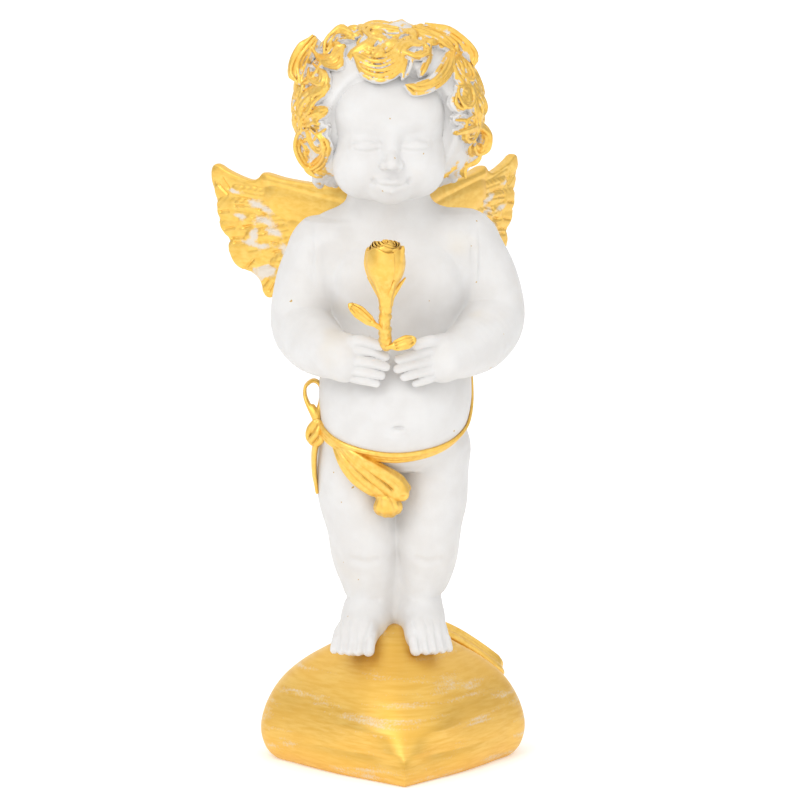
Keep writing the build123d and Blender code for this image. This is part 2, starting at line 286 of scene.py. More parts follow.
def trunk(clay):
    """Chest, belly and back."""
    clay.add(column(TORSO, 2.15))
    clay.add(blob((-0.3, -5.4, 84.0), (14.6, 13.4, 13.8)), 6.0)
    for s in (-1, 1):
        clay.add(blob((s * 6.6 - 0.2, -6.6, 114.0), (7.6, 4.6, 6.4)), 5.0)
        clay.add(blob((s * 7.4, 6.0, 113.0), (7.4, 5.6, 9.5)), 4.0)
        clay.add(blob((s * 13.5 - 0.3, 1.0, 124.2), (6.5, 6.6, 5.2)), 5.0)
    clay.carve(rope([(0, 14.5, 90), (0, 13.2, 100), (0, 13.4, 118)], 1.2), 4.0)
    clay.carve(blob((-0.4, -19.8, 81.8), (1.9, 1.9, 0.8)), 0.9)
    clay.add(blob((-0.1, -18.4, 80.9), (1.5, 0.8, 0.7)), 1.2)


def lower_body(clay):
    """Buttocks, legs joined by a web of resin, and feet."""
    for s in (-1, 1):
        clay.add(blob((s * 7.8, 7.2, 75.5), (9.4, 8.4, 9.6)), 1.4)
    for side, stations in LEG.items():
        cx = SIGN[side] * 7.6 - 0.1
        clay.add(column(stations), 1.5)
        clay.add(blob((cx, 3.8, 50.0), (6.0, 6.2, 8.0)), 4.0)
        clay.add(blob((cx, -3.6, 53.6), (5.2, 4.4, 5.6)), 4.5)
    clay.add(blob((0.2, 1.8, 46.0), (1.7, 3.6, 17.5)), 2.2)
    groin = [(3.0, -14.0, 71.2), (9.0, -13.6, 72.6), (14.6, -9.6, 76.6), (17.0, -4.0, 79.0)]
    clay.carve(rope(curve_through(groin, 14), 0.9), 2.6)
    for s in (-1, 1):
        cx = s * 7.4 - 0.1
        ankle = [(cx + 5.9 * math.sin(a), 1.3 - 6.3 * math.cos(a), 38.4 + 0.5 * math.cos(a))
                 for a in s * np.linspace(-0.5, 2.2, 12)]
        engrave(clay, ankle, 0.3, 1.3, above=0.1)
        knee = [(cx - 2.6, -8, 48.6), (cx, -9, 47.8), (cx + 2.6, -8, 48.6)]
        engrave(clay, curve_through(knee, 7), 0.3, 1.8, above=0.5)
        foot(clay, s)


# x and y of each toe's tip, its radius and its length, from the big toe out
TOES = [
    (5.5, -12.4, 1.4, 4.6), (7.9, -12.4, 1.15, 6.2), (9.9, -11.9, 1.1, 6.0), (11.7, -11.1, 1.05, 5.4),
    (13.3, -9.9, 1.0, 4.6),
]
TOE_SHIFT = -1.5                            # both forefeet sit this far towards the figure's right


def foot(clay, s):
    """One foot with five toes, spreading down the slope of the heart."""
    splay = s * 12
    clay.add(blob((s * 6.2 - 0.4, 3.6, 31.4), (5.0, 6.0, 4.8)), 2.0)
    clay.add(blob((s * 7.0 + TOE_SHIFT * 0.5, -2.8, 33.4), (4.9, 5.6, 5.2), spin(yaw=splay, pitch=40)), 3.0)
    clay.add(blob((s * 8.9 + TOE_SHIFT, -7.4, 30.8), (4.6, 4.6, 3.4), spin(yaw=splay, pitch=48)), 2.5)
    clay.add(blob((s * 6.4 + TOE_SHIFT, -8.0, 31.4), (2.9, 4.4, 3.2), spin(pitch=48)), 2.2)
    for x, y, r, length in TOES:
        cx = s * x + TOE_SHIFT
        toe = [(cx - s * 1.1, y + 0.72 * length, 27.8 + 0.80 * length),
               (cx - s * 0.4, y + 1.4, 30.0 + r / 3), (cx, y, 28.0 + r / 3)]
        clay.add(rope(toe, [r * 0.7, r * 0.95, r]), 0.45)
    for (xa, ya, ra, _), (xb, yb, rb, _) in zip(TOES, TOES[1:]):
        cx, y, r = s * (xa + xb) / 2 + TOE_SHIFT, (ya + yb) / 2, (ra + rb) / 2
        gap = [(cx - s * 0.1, y - r, 28.6), (cx - s * 0.3, y - 0.2 * r, 30.4),
               (cx - s * 0.8, y + 1.8, 32.2), (cx - s * 1.5, y + 3.8, 34.0)]
        engrave(clay, curve_through(gap, 9), np.linspace(0.4, 0.15, 9), 0.5, above=0.05)


ARM = {
    "right": [(-17.6, 1.0, 119.6, 7.4), (-20.2, 0.8, 112.5, 7.5), (-21.4, -1.8, 104.0, 7.5),
              (-19.6, -8.4, 100.6, 7.0), (-16.4, -14.0, 99.0, 6.0), (-13.6, -16.8, 98.4, 4.9)],
    "left": [(17.2, 1.0, 120.8, 7.5), (20.8, 0.8, 113.5, 7.6), (22.4, -1.8, 105.2, 7.6),
             (19.6, -8.6, 101.0, 7.2), (15.0, -14.2, 98.9, 6.1), (11.4, -17.2, 98.0, 5.0)],
}
# Fingers, thumb first: knuckle, middle joint and tip, then the radius
FINGERS = {
    "right": [[(-12.2, -18.6, 102.0), (-8.8, -20.9, 102.8), (-5.0, -22.8, 101.9), 1.35],
              [(-11.2, -19.4, 100.4), (-7.2, -20.8, 100.4), (-3.7, -20.8, 99.0), 1.25],
              [(-11.4, -19.6, 98.0), (-7.2, -21.0, 97.7), (-3.5, -20.6, 96.6), 1.25],
              [(-11.2, -19.4, 95.7), (-7.6, -20.8, 95.3), (-4.6, -20.4, 94.5), 1.2],
              [(-10.8, -18.8, 93.6), (-8.0, -20.4, 93.2), (-5.7, -20.2, 92.6), 1.05]],
    "left": [[(9.4, -18.6, 101.9), (6.4, -20.8, 102.5), (3.4, -21.8, 101.8), 1.35],
             [(7.6, -19.4, 100.2), (3.4, -21.0, 99.6), (-0.6, -21.2, 98.4), 1.25],
             [(7.6, -19.6, 97.9), (3.2, -21.0, 97.3), (-0.8, -20.9, 96.1), 1.25],
             [(7.8, -19.4, 95.8), (4.0, -20.8, 95.1), (0.7, -20.4, 94.1), 1.2],
             [(8.0, -18.8, 93.9), (5.6, -20.2, 93.2), (3.4, -20.0, 92.5), 1.05]],
}
PALM = {"right": (-12.6, -17.6, 98.2), "left": (9.2, -17.8, 97.9)}


def arm(clay, side):
    """One arm and hand."""
    chain = curve_through(ARM[side], 26)
    clay.add(rope(chain[:, :3], chain[:, 3]))
    clay.add(blob(PALM[side], (4.6, 3.1, 5.6), spin(yaw=-SIGN[side] * 14)), 2.0)
    for i, (knuckle, joint, tip, r) in enumerate(FINGERS[side]):
        path = curve_through([knuckle, joint, tip], 9)
        clay.add(rope(path, np.linspace(r * 1.08, r * 0.88, 9)), 0.2 if i else 0.8)


def merged(a, b, z):
    """The arm and torso distances with a soft shoulder and a crisp crease below it."""
    return smooth_min(a, b, np.interp(z, [106, 118], [0.7, 6.0]).astype(np.float32))


def torso_clay():
    """The torso casting, seated under the arms and on the legs."""
    clay = Clay((-23, -23, HIP - 2), (23, 18, 142), 0.38)
    trunk(clay)
    lower_body(clay)
    own, (_, _, z) = clay.d, clay.grid()
    whole, cover = own, np.full_like(own, FAR)
    for side in SIGN:
        clay.d = np.full_like(own, FAR)
        arm(clay, side)
        whole = merged(whole, clay.d, z)
        cover = np.minimum(cover, clay.d)
    clay.skin = whole
    clay.d = np.maximum(whole + SHRINK, np.maximum(own - cover - LAP, HIP - LAP - z))
    return clay


def legs_clay():
    """The leg casting, up to its seat."""
    clay = Clay((-23, -18, 24), (23, 18, HIP + 1), 0.3)
    trunk(clay)
    lower_body(clay)
    clay.skin = clay.d
    clay.d = np.maximum(clay.d, clay.grid()[2] - HIP)
    return clay


def arm_clay(side):
    """One arm casting, as far as its seat on the torso."""
    low, high = (-31, -25, 88), (-1, 10, 131)
    if side == "left":
        low, high = (-3, -25, 88), (32, 10, 131)
    clay = Clay(low, high, 0.3)
    trunk(clay)
    trunk_d = clay.d
    clay.d = np.full_like(trunk_d, FAR)
    arm(clay, side)
    clay.skin = merged(trunk_d, clay.d, clay.grid()[2])
    clay.d = np.maximum(clay.skin, clay.d - trunk_d)
    return clay


# ---------------------------------------------------------------- the head

HEAD_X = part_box("hair")[0].x / MM / 2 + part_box("hair")[1].x / MM / 2 - 0.8


def skull(clay):
    """Cranium and jaw."""
    clay.add(blob((HEAD_X, 0.6, 153.0), (15.6, 17.0, 17.2)))
    clay.add(blob((HEAD_X, -4.6, 143.0), (11.2, 11.4, 10.6)), 5.0)


def head_clay():
    """Skull, closed-eyed baby face and neck. It has no ears, since the hair covers their place."""
    x0 = HEAD_X
    clay = Clay((x0 - 20, -23, 127), (x0 + 20, 21, 173), 0.26)
    skull(clay)
    for s in (-1, 1):                       # cheek, brow and eye socket
        clay.add(blob((x0 + s * 6.9, -9.4, 141.2), (6.0, 6.6, 6.8)), 3.2)
        clay.add(blob((x0 + s * 5.4, -11.4, 154.6), (6.0, 5.0, 5.2)), 4.0)
        clay.carve(blob((x0 + s * 5.6, -18.7, 148.2), (4.2, 3.0, 2.6)), 3.0)
    clay.add(blob((x0, -13.4, 136.2), (3.8, 3.0, 3.0)), 3.0)
    for s in (-1, 1):                       # eyeball under its lid
        clay.add(blob((x0 + s * 5.5, -13.4, 147.0), (3.4, 2.9, 2.7)), 1.2)
    nose = [(x0, -14.8, 150.0), (x0, -16.2, 146.4), (x0, -18.2, 143.5)]
    clay.add(rope(nose, [1.4, 1.2, 1.6]), 2.0)
    for s in (-1, 1):                       # wing of the nose and nostril
        clay.add(blob((x0 + s * 1.7, -17.0, 142.9), (1.15, 1.3, 1.05)), 0.8)
        clay.carve(blob((x0 + s * 0.95, -18.3, 141.7), (0.5, 0.7, 0.35)), 0.5)
    mouth(clay, x0)
    for s in (-1, 1):
        lid = [(x0 + s * 2.5, -16.0, 146.5), (x0 + s * 5.5, -16.6, 145.9), (x0 + s * 8.6, -14.6, 146.4)]
        engrave(clay, curve_through(lid, 11), 0.24, 0.45)
        fold = [(x0 + s * 2.8, -16.0, 148.0), (x0 + s * 5.6, -16.4, 149.2), (x0 + s * 8.4, -14.6, 148.1)]
        engrave(clay, curve_through(fold, 11), 0.18, 0.8)
    neck = [(x0, 1.0, 127.0, 9.2, 8.2), (x0, 0.8, 133.0, 8.8, 8.0), (x0, 0.4, 140.0, 9.0, 8.4)]
    clay.add(column(neck), 1.2)
    return clay


def mouth(clay, x0):
    """Closed lips with a faint smile."""
    clay.add(blob((x0, -14.9, 138.6), (4.2, 2.6, 2.6)), 2.0)
    upper = [(x0 - 2.6, -16.4, 138.9), (x0 - 0.9, -17.4, 139.2), (x0, -17.4, 139.0),
             (x0 + 0.9, -17.4, 139.2), (x0 + 2.6, -16.4, 138.9)]
    clay.add(rope(upper, [0.45, 0.75, 0.7, 0.75, 0.45]), 0.8)
    lower = [(x0 - 2.0, -16.4, 137.5), (x0, -17.2, 137.1), (x0 + 2.0, -16.4, 137.5)]
    clay.add(rope(lower, [0.5, 0.85, 0.5]), 0.8)
    line = [(x0 - 3.7, -15.8, 138.9), (x0 - 1.8, -17.0, 138.3), (x0, -17.6, 138.15),
            (x0 + 1.8, -17.0, 138.3), (x0 + 3.7, -15.8, 138.9)]
    engrave(clay, curve_through(line, 15), 0.22, 0.4)
    for s in (-1, 1):
        clay.carve(blob((x0 + s * 4.1, -16.2, 139.1), (0.4, 0.6, 0.5)), 0.9)
    clay.carve(rope([(x0, -17.6, 141.4), (x0, -17.9, 140.3)], 0.35), 1.0)


# ---------------------------------------------------------------- hair

SCALP = np.array([HEAD_X + 0.6, 1.3, 153.6])
SCALP_RADII = np.array([20.2, 19.4, 18.2])
NAPE = 139.5                                # lowest ringlets
GOLDEN_ANGLE = 2.39996                      # radians from one scattered direction to the next
# Locks seen from the front: the x and z of one edge, of the other, and the lift over the scalp
LOCKS = [
    ([(2.2, 168.8), (0.8, 165.0), (-4.0, 162.6), (-8.3, 163.6), (-11.0, 166.6)],
     [(-0.6, 170.4), (-3.4, 168.9), (-6.6, 168.9), (-9.8, 169.6)], 0.9),
    ([(14.2, 167.2), (11.8, 163.0), (7.9, 160.4), (3.4, 159.6), (-0.2, 161.2)],
     [(12.2, 168.6), (9.6, 164.8), (6.6, 162.3), (3.2, 161.8)], 0.9),
    ([(8.2, 168.6), (7.0, 165.6), (5.4, 163.0)], [(6.6, 168.6), (5.6, 165.4), (4.4, 163.4)], 0.6),
    ([(4.4, 169.8), (2.8, 165.8), (1.0, 162.4)], [(3.2, 170.0), (1.6, 166.2), (0.4, 163.4)], 0.6),
    ([(0.2, 172.7), (-4.6, 173.1), (-8.1, 172.3), (-6.6, 170.4), (-2.6, 169.6)],
     [(0.8, 171.3), (-3.0, 171.9), (-4.6, 171.4), (-1.2, 170.9)], 0.8),
    ([(-9.6, 171.8), (-12.4, 172.9), (-14.8, 171.4), (-16.4, 169.2), (-17.6, 166.2)],
     [(-9.6, 169.8), (-12.2, 170.6), (-13.6, 169.4), (-14.6, 167.2)], 1.2),
    ([(-19.2, 168.6), (-17.6, 166.8), (-15.2, 166.8), (-13.6, 168.8), (-11.8, 170.2)],
     [(-18.6, 166.8), (-16.8, 164.8), (-13.6, 164.8), (-11.9, 167.4)], 1.2),
    ([(-19.4, 171.4), (-22.2, 168.4), (-24.2, 164.8), (-24.5, 161.8), (-23.0, 159.4)],
     [(-17.4, 169.2), (-19.8, 166.4), (-21.0, 163.6), (-21.0, 160.4)], 1.9),
    ([(-18.8, 164.8), (-16.4, 163.0), (-17.2, 160.2), (-20.0, 161.2), (-19.8, 163.8)],
     [(-18.2, 163.8), (-17.8, 162.6), (-18.4, 161.8), (-19.2, 163.0)], 1.4),
    ([(-16.0, 161.4), (-18.8, 160.2), (-21.6, 157.6), (-23.2, 154.4), (-22.8, 151.4)],
     [(-16.0, 159.4), (-17.8, 158.0), (-19.4, 155.8), (-20.4, 152.8)], 1.1),
    ([(-16.2, 156.4), (-19.0, 155.2), (-21.6, 152.8), (-22.6, 149.0)],
     [(-16.2, 154.4), (-17.8, 153.4), (-19.6, 151.4), (-20.6, 148.6)], 0.8),
    ([(-16.4, 152.0), (-18.2, 150.4), (-19.4, 148.0)],
     [(-16.2, 149.8), (-17.2, 148.4), (-18.0, 146.6)], 0.2),
    ([(-19.6, 151.2), (-16.8, 148.6), (-15.9, 145.2), (-16.8, 141.2), (-19.4, 139.4), (-21.8, 141.4),
      (-23.2, 145.2), (-22.4, 149.2), (-20.4, 151.0)],
     [(-19.6, 149.6), (-18.0, 147.8), (-17.3, 145.2), (-17.9, 142.6), (-19.4, 141.2), (-20.6, 142.6),
      (-21.5, 145.6), (-20.9, 148.4), (-20.0, 149.4)], 1.1),
    ([(4.4, 173.0), (9.4, 171.6), (13.6, 169.0), (15.8, 165.6)],
     [(2.8, 171.4), (7.4, 170.0), (11.2, 167.6)], 0.9),
    ([(6.6, 173.4), (12.0, 172.3), (16.0, 169.6), (18.8, 165.4), (18.0, 161.6)],
     [(6.6, 172.0), (11.4, 170.7), (14.6, 168.4), (16.6, 164.4)], 1.6),
    ([(13.4, 167.4), (16.2, 164.6), (16.8, 161.8), (15.4, 158.0)],
     [(10.4, 166.6), (12.6, 163.8), (13.0, 160.6)], 0.6),
    ([(12.8, 160.8), (16.2, 160.0), (16.8, 156.6), (14.2, 154.6), (12.0, 156.8), (12.4, 160.0)],
     [(13.8, 159.2), (15.4, 158.6), (15.2, 156.6), (14.0, 156.2), (13.2, 157.2)], 0.6),
    ([(15.4, 161.0), (18.8, 158.4), (20.6, 154.8), (20.2, 150.6)],
     [(13.8, 157.6), (16.4, 155.2), (17.4, 151.6)], 1.0),
    ([(12.6, 153.8), (15.4, 153.2), (17.6, 151.4)], [(12.6, 151.8), (14.8, 151.2), (16.4, 149.8)], 0.2),
    ([(13.0, 150.4), (16.4, 150.6), (19.8, 149.9), (22.0, 147.0), (21.0, 143.4), (18.0, 142.6),
      (16.4, 145.2), (17.4, 147.4)],
     [(13.0, 149.0), (16.4, 149.2), (19.2, 148.4), (20.5, 146.6), (19.8, 144.9), (18.6, 144.9)], 1.3),
    ([(20.4, 143.8), (18.6, 141.0), (16.4, 139.6), (16.6, 137.4)],
     [(18.6, 143.6), (16.8, 142.2), (14.4, 140.8), (14.6, 138.2)], 0.4),
    ([(-21.4, 141.4), (-19.6, 138.6), (-17.0, 137.6)],
     [(-19.8, 141.8), (-18.2, 140.2), (-16.0, 139.4)], 0.4),
]


def on_scalp(x, z, lift):
    """The point at x and z on the front half of the scalp, or on its outline."""
    radii = SCALP_RADII + lift
    a, b = (x - SCALP[0]) / radii[0], (z - SCALP[2]) / radii[2]
    far = math.hypot(a, b)
    depth = math.sqrt(max(1 - far * far, 0.02))
    return (x, SCALP[1] - radii[1] * depth, z)


def lock(clay, one, other, lift):
    """Strands lying side by side between the edges of a tapering lock, crowned and backed with clay."""
    count = 4 * max(len(one), len(other))
    a = curve_through([on_scalp(x, z, lift) for x, z in one], count)
    b = curve_through([on_scalp(x, z, lift) for x, z in other], count)
    t = np.linspace(0, 1, count)
    taper = np.interp(t, [0, 0.22, 0.78, 1], [0.45, 1, 1, 0.15])[:, None]
    middle, half = (a + b) / 2, (b - a) / 2 * taper
    strands = max(2, int(round(2 * np.linalg.norm(half, axis=1).max() / 1.15)) + 1)
    thin = np.interp(t, [0, 0.2, 0.8, 1], [0.55, 1, 1, 0.5])
    for i in range(strands):
        share = 2 * i / (strands - 1) - 1
        line = middle + half * share
        out = line - SCALP - (0, 12, 0)
        out /= np.linalg.norm(out, axis=1, keepdims=True)
        wave = 0.22 * np.sin(7 * t + 2.4 * i)[:, None]
        line = line + out * (0.65 * (1 - share ** 2) + wave + 0.3 * (i % 3 == 1))
        clay.add(rope(line - out * 0.95, 0.72 * thin), 0.1)
        clay.add(rope(line, 0.52 * thin), 0.05)


def curl(clay, out, radius, start, turns, hand, strands):
    """One ringlet: strands winding inwards on the scalp, high at the rim and low at the middle."""
    out = out / np.linalg.norm(out)
    side = np.cross(out, (0.2, 0.1, 1.0))
    side /= np.linalg.norm(side)
    up = np.cross(side, out)
    count = int(7 * turns) + 6
    t = np.linspace(0, 1, count)
    for i in range(strands):
        angle = start + hand * t * turns * 2 * math.pi
        r = (radius - 1.12 * i) * (1 - 0.55 * t)
        lift = 1.4 - 0.5 * i + 0.35 * np.sin(math.pi * t) + 0.35 * np.sin(angle + radius)
        lift = lift - 0.7 * max(0.0, out[2] - 0.75) / 0.25
        spread = np.outer(np.cos(angle) * r, side) + np.outer(np.sin(angle) * r, up)
        way = out * SCALP_RADII + spread
        way /= np.linalg.norm(way / SCALP_RADII, axis=1, keepdims=True)
        unit = way / np.linalg.norm(way, axis=1, keepdims=True)
        clay.add(rope(SCALP + way + unit * (lift[:, None] - 0.8), 0.75 * (1 - 0.35 * t)), 0.1)
        clay.add(rope(SCALP + way + unit * lift[:, None], 0.56 * (1 - 0.35 * t)), 0.05)


def scattered(count, top, drop, phase):
    """Directions spread evenly round a sphere, from the height top down by drop."""
    for i in range(count):
        z, a = top - drop * (i + 0.5) / count, i * GOLDEN_ANGLE + phase
        yield np.array([math.sqrt(1 - z * z) * math.cos(a), math.sqrt(1 - z * z) * math.sin(a), z])


def scalp(clay):
    """The cap that the hair grows on, open round the face and the neck."""
    clay.add(blob(SCALP, SCALP_RADII))
    for s in (-1, 1):
        clay.add(blob((SCALP[0] + s * 15.6, 3.0, 143.0), (4.2, 6.5, 6.5)), 3.0)
    clay.carve(blob((HEAD_X + 0.4, -21.0, 148.4), (17.6, 19.6, 19.0)), 1.5)
    clay.carve(blob((HEAD_X, -12.0, 134.5), (15.2, 15.5, 12.0)), 1.5)
    clay.carve(blob((HEAD_X, 0.0, 132.5), (12.0, 15.0, 8.0)), 1.5)
    clay.carve(blob((HEAD_X, 0.6, 150.0), (14.4, 16.0, 16.0)), 0.5)


def ringlets(clay, rng):
    """Ringlets over the sides, the back and the crown, on soft bumps at the back."""
    for out in scattered(104, 1, 2, 0.0):
        start, hand = rng.uniform(0, 6.28), (1 if rng.random() < 0.5 else -1)
        radius, turns = rng.uniform(3.5, 4.6), rng.uniform(0.95, 1.3)
        place = SCALP + out * SCALP_RADII
        if place[2] > NAPE and place[1] > 1.0:
            clay.add(blob(SCALP + out * (SCALP_RADII - 1.7), [radius - 0.5] * 3), 1.4)
        facing = place[1] < -5.0 and abs(place[0] - HEAD_X) < 15.4 and place[2] < 167.5
        beside_cheek = place[1] < -2.0 and place[2] < 144
        if not (facing or beside_cheek or place[2] < NAPE):
            curl(clay, out, radius, start, turns, hand, 3)


def wavy_locks(clay, rng):
    """Short wavy locks of three strands between the ringlets, behind and on the crown."""
    t = np.linspace(-1, 1, 13)[:, None]
    for out in scattered(210, 0.97, 1.75, 1.0):
        if out[1] < 0.05 and out[2] < 0.75:
            continue
        down = np.array([0, 0, -1.0]) + out * out[2] + rng.normal(0, 0.45, 3)
        sway = np.cross(out, down)
        bend, phase = rng.uniform(0.9, 2.2), rng.uniform(0, 6)
        for strand in (-0.75, 0.0, 0.75):
            swing = bend * np.sin(2.4 * t + phase) + strand * (1 - 0.6 * t * t)
            way = SCALP_RADII * out + down * 3.8 * t + sway * swing
            way /= np.linalg.norm(way / SCALP_RADII, axis=1, keepdims=True)
            rise = 1 + (0.1 - 0.02 * abs(strand)) * (1 - t ** 2)
            clay.add(rope(SCALP + way * rise, 0.55 * (1 - 0.4 * t[:, 0] ** 2)), 0.2)


def nape_strands(clay):
    """Strands that hang down behind, on both sides of the neck."""
    for s in (-1, 1):
        for i in range(6):
            x, ends = HEAD_X + s * (15.2 - 1.2 * i), 135.4 + 0.7 * math.sin(2.2 * i + s)
            hanging = [(x + s * 1.0, 1.4, 142.0), (x - s * 0.4, 2.6 + 0.4 * (i % 2), 138.8),
                       (x + s * 0.7, 4.6, 136.4), (x - s * 0.2, 6.6, ends)]
            clay.add(rope(curve_through(hanging, 12), np.linspace(1.4, 1.0, 12)), 0.3)


def hair_clay():
    """All the hair, laid over the skull and kept inside the CAD hair's box but for the nape."""
    low, high = (np.array(v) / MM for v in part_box("hair"))
    low[2] -= 3.0                             # the strands at the nape hang lower than the CAD hair
    clay, base = Clay(low - 1, high + 1, 0.25), Clay(low - 1, high + 1, 0.25)
    scalp(clay)
    rng = np.random.default_rng(7)
    ringlets(clay, rng)
    wavy_locks(clay, rng)
    skull(base)
    clay.d = smooth_min(clay.d, base.d, 3.2)
    for i in range(3):
        curl(clay, np.array([0.25, -0.48, 0.93]), 3.6 - 1.1 * i, 2.0 * i, 1.0, 1, 1)
    for one, other, lift in LOCKS:
        lock(clay, one, other, lift)
    nape_strands(clay)
    clay.d = np.maximum(clay.d, 0.05 - base.d)
    for axis, place in enumerate(clay.grid()):
        clay.d = np.maximum(clay.d, np.maximum(low[axis] + 0.2 - place, place - high[axis] + 0.2))
    return clay


def hair_gilt(clay, points):
    """Gold rubbed over the strands that stand up; bare resin on the scalp, in the pits and at the nape."""
    away = np.linalg.norm((points - SCALP) / SCALP_RADII, axis=1)
    lift = np.clip((away - 1) * 19.0 / 1.5, 0, 1)
    low = np.clip((points[:, 2] - 136.0) / 3.0, 0, 1)
    crest = np.clip(clay.ridge(points, 1.0) / 0.5, 0, 1)
    return (0.06 + 0.38 * lift + 0.32 * lift * crest - 0.45 * clay.recess(points, 1.8)) * (0.55 + 0.45 * low)


# ---------------------------------------------------------------- wings

# A wing's outline in its own plane: distance out, height
WING_EDGE = [
    (0.0, 134.0), (8.0, 133.6), (16.0, 133.8), (22.4, 134.3), (26.4, 135.1), (28.0, 135.2), (29.2, 133.9),
    (31.0, 133.2), (34.0, 133.8), (37.4, 135.0), (40.2, 136.3), (42.0, 135.4), (42.2, 132.6),
    (41.2, 129.4), (40.5, 126.8), (40.2, 124.0), (39.6, 121.6), (38.3, 119.9), (37.2, 119.0),
    (37.4, 117.4), (36.9, 115.4), (35.4, 113.0), (33.2, 111.8), (30.8, 111.2), (29.3, 110.2),
    (28.3, 108.6), (28.0, 107.2), (26.9, 105.9), (25.2, 106.2), (24.2, 108.4), (22.6, 110.4),
    (17.0, 111.5), (8.0, 114.0), (0.0, 117.0), (-1.4, 125.0),
]
# Feathers: root and tip (distance out, height), radii there, half thickness, gilding
FEATHERS = [
    [(14.0, 128.4), (39.2, 134.2), 4.6, 2.6, 0.80, 0.95],
    [(15.0, 127.4), (38.4, 130.2), 4.2, 2.8, 0.62, 0.9],
    [(15.0, 125.4), (37.6, 126.0), 4.4, 3.0, 0.86, 0.9],
    [(15.0, 123.0), (36.8, 121.6), 4.4, 3.2, 0.70, 1.0],
    [(14.0, 121.0), (33.6, 116.0), 4.4, 4.0, 0.95, 1.0],
    [(12.0, 118.8), (28.0, 111.2), 4.0, 3.0, 0.72, 0.45],
    [(11.0, 118.0), (26.2, 108.2), 4.0, 2.4, 0.95, 1.0],
    [(7.0, 118.0), (22.0, 113.0), 4.8, 2.6, 0.75, 0.9],
    [(20.0, 129.6), (34.8, 130.6), 1.9, 1.3, 1.10, 0.8],
    [(20.0, 127.4), (34.0, 127.2), 1.9, 1.3, 1.18, 0.8],
    [(19.0, 125.2), (33.2, 123.6), 1.9, 1.3, 1.10, 0.8],
    [(19.0, 123.0), (31.2, 120.0), 1.9, 1.3, 1.18, 0.8],
    [(18.0, 120.8), (28.0, 117.0), 1.9, 1.3, 1.10, 0.8],
    [(15.0, 119.4), (24.6, 114.2), 1.9, 1.3, 1.18, 0.8],
    [(0.0, 130.0), (26.4, 133.6), 3.6, 1.9, 1.5, 1.0],
    [(1.0, 123.0), (24.0, 129.6), 8.4, 4.0, 1.65, 1.0],
    [(1.0, 119.8), (18.4, 123.6), 6.6, 3.4, 1.6, 1.0],
]
# Where the gold is rubbed off a wing: centre (distance out, height), half length and width, slope in degrees
BARE = [
    (28.2, 127.2, 3.0, 0.8, 20), (34.2, 124.6, 2.6, 0.6, 8), (26.6, 123.9, 2.8, 0.8, 16),
    (29.8, 120.6, 1.2, 2.0, 10), (24.2, 121.3, 2.2, 0.9, 12), (28.6, 117.9, 2.8, 0.8, -4),
    (21.0, 117.4, 2.2, 1.3, 10), (26.6, 111.6, 2.7, 1.1, 4), (35.4, 130.2, 1.6, 0.5, 8),
    (32.0, 118.6, 1.8, 0.6, 0),
]
# Short cuts of the modelling tool in a wing: both ends (distance out, height)
CUTS = [
    (30.4, 124.6, 27.2, 125.6), (29.8, 123.6, 26.6, 124.7), (28.6, 126.6, 26.2, 127.2),
    (26.4, 122.0, 23.6, 123.2), (27.4, 121.2, 25.0, 121.8), (36.2, 119.2, 33.2, 119.6),
    (35.4, 118.2, 32.8, 118.5), (32.4, 112.4, 30.2, 114.8), (28.8, 112.6, 24.8, 113.4),
    (39.6, 131.4, 37.4, 129.6), (38.6, 133.2, 37.0, 130.8), (25.6, 119.0, 23.6, 119.3),
    (24.8, 116.8, 22.4, 117.4), (39.2, 125.2, 37.0, 125.6), (38.2, 121.2, 35.6, 121.8),
    (27.6, 108.8, 26.4, 110.2), (26.0, 107.6, 24.8, 109.6), (33.0, 122.0, 30.8, 122.6),
    (35.2, 127.0, 32.8, 127.2),
]
QUILLED_BELOW = 1.3                         # half thickness, mm, under which a feather has a quill and barbs
BARB_PITCH = 1.6                            # mm
RUBBED = 0.72                               # how much gilding a bare patch takes off
CUT_DEPTH, CUT_WIDTH = 0.42, 0.26           # mm
WING_ROOT = (5.5, 8.0)                      # x and y of a wing's inner end
WING_SWEEP = {"right": 33.5, "left": 52.3}  # degrees backwards from straight out


def line_distance(x, y, ax, ay, bx, by):
    """Distance in a plane to the line from a to b."""
    squared = (bx - ax) ** 2 + (by - ay) ** 2 + 1e-9
    t = np.clip(((x - ax) * (bx - ax) + (y - ay) * (by - ay)) / squared, 0, 1)
    return np.hypot(x - ax - t * (bx - ax), y - ay - t * (by - ay))


def outline_distance(points, x, y):
    """Signed distance in a plane to a closed outline, negative inside."""
    best, inside = np.full(np.broadcast(x, y).shape, FAR, np.float32), False
    for (ax, ay), (bx, by) in zip(points, np.roll(points, -1, axis=0)):
        best = np.minimum(best, line_distance(x, y, ax, ay, bx, by))
        crosses = ((ay > y) != (by > y)) & (x < (bx - ax) * (y - ay) / (by - ay + 1e-12) + ax)
        inside = inside ^ crosses
    return np.where(inside, -best, best)


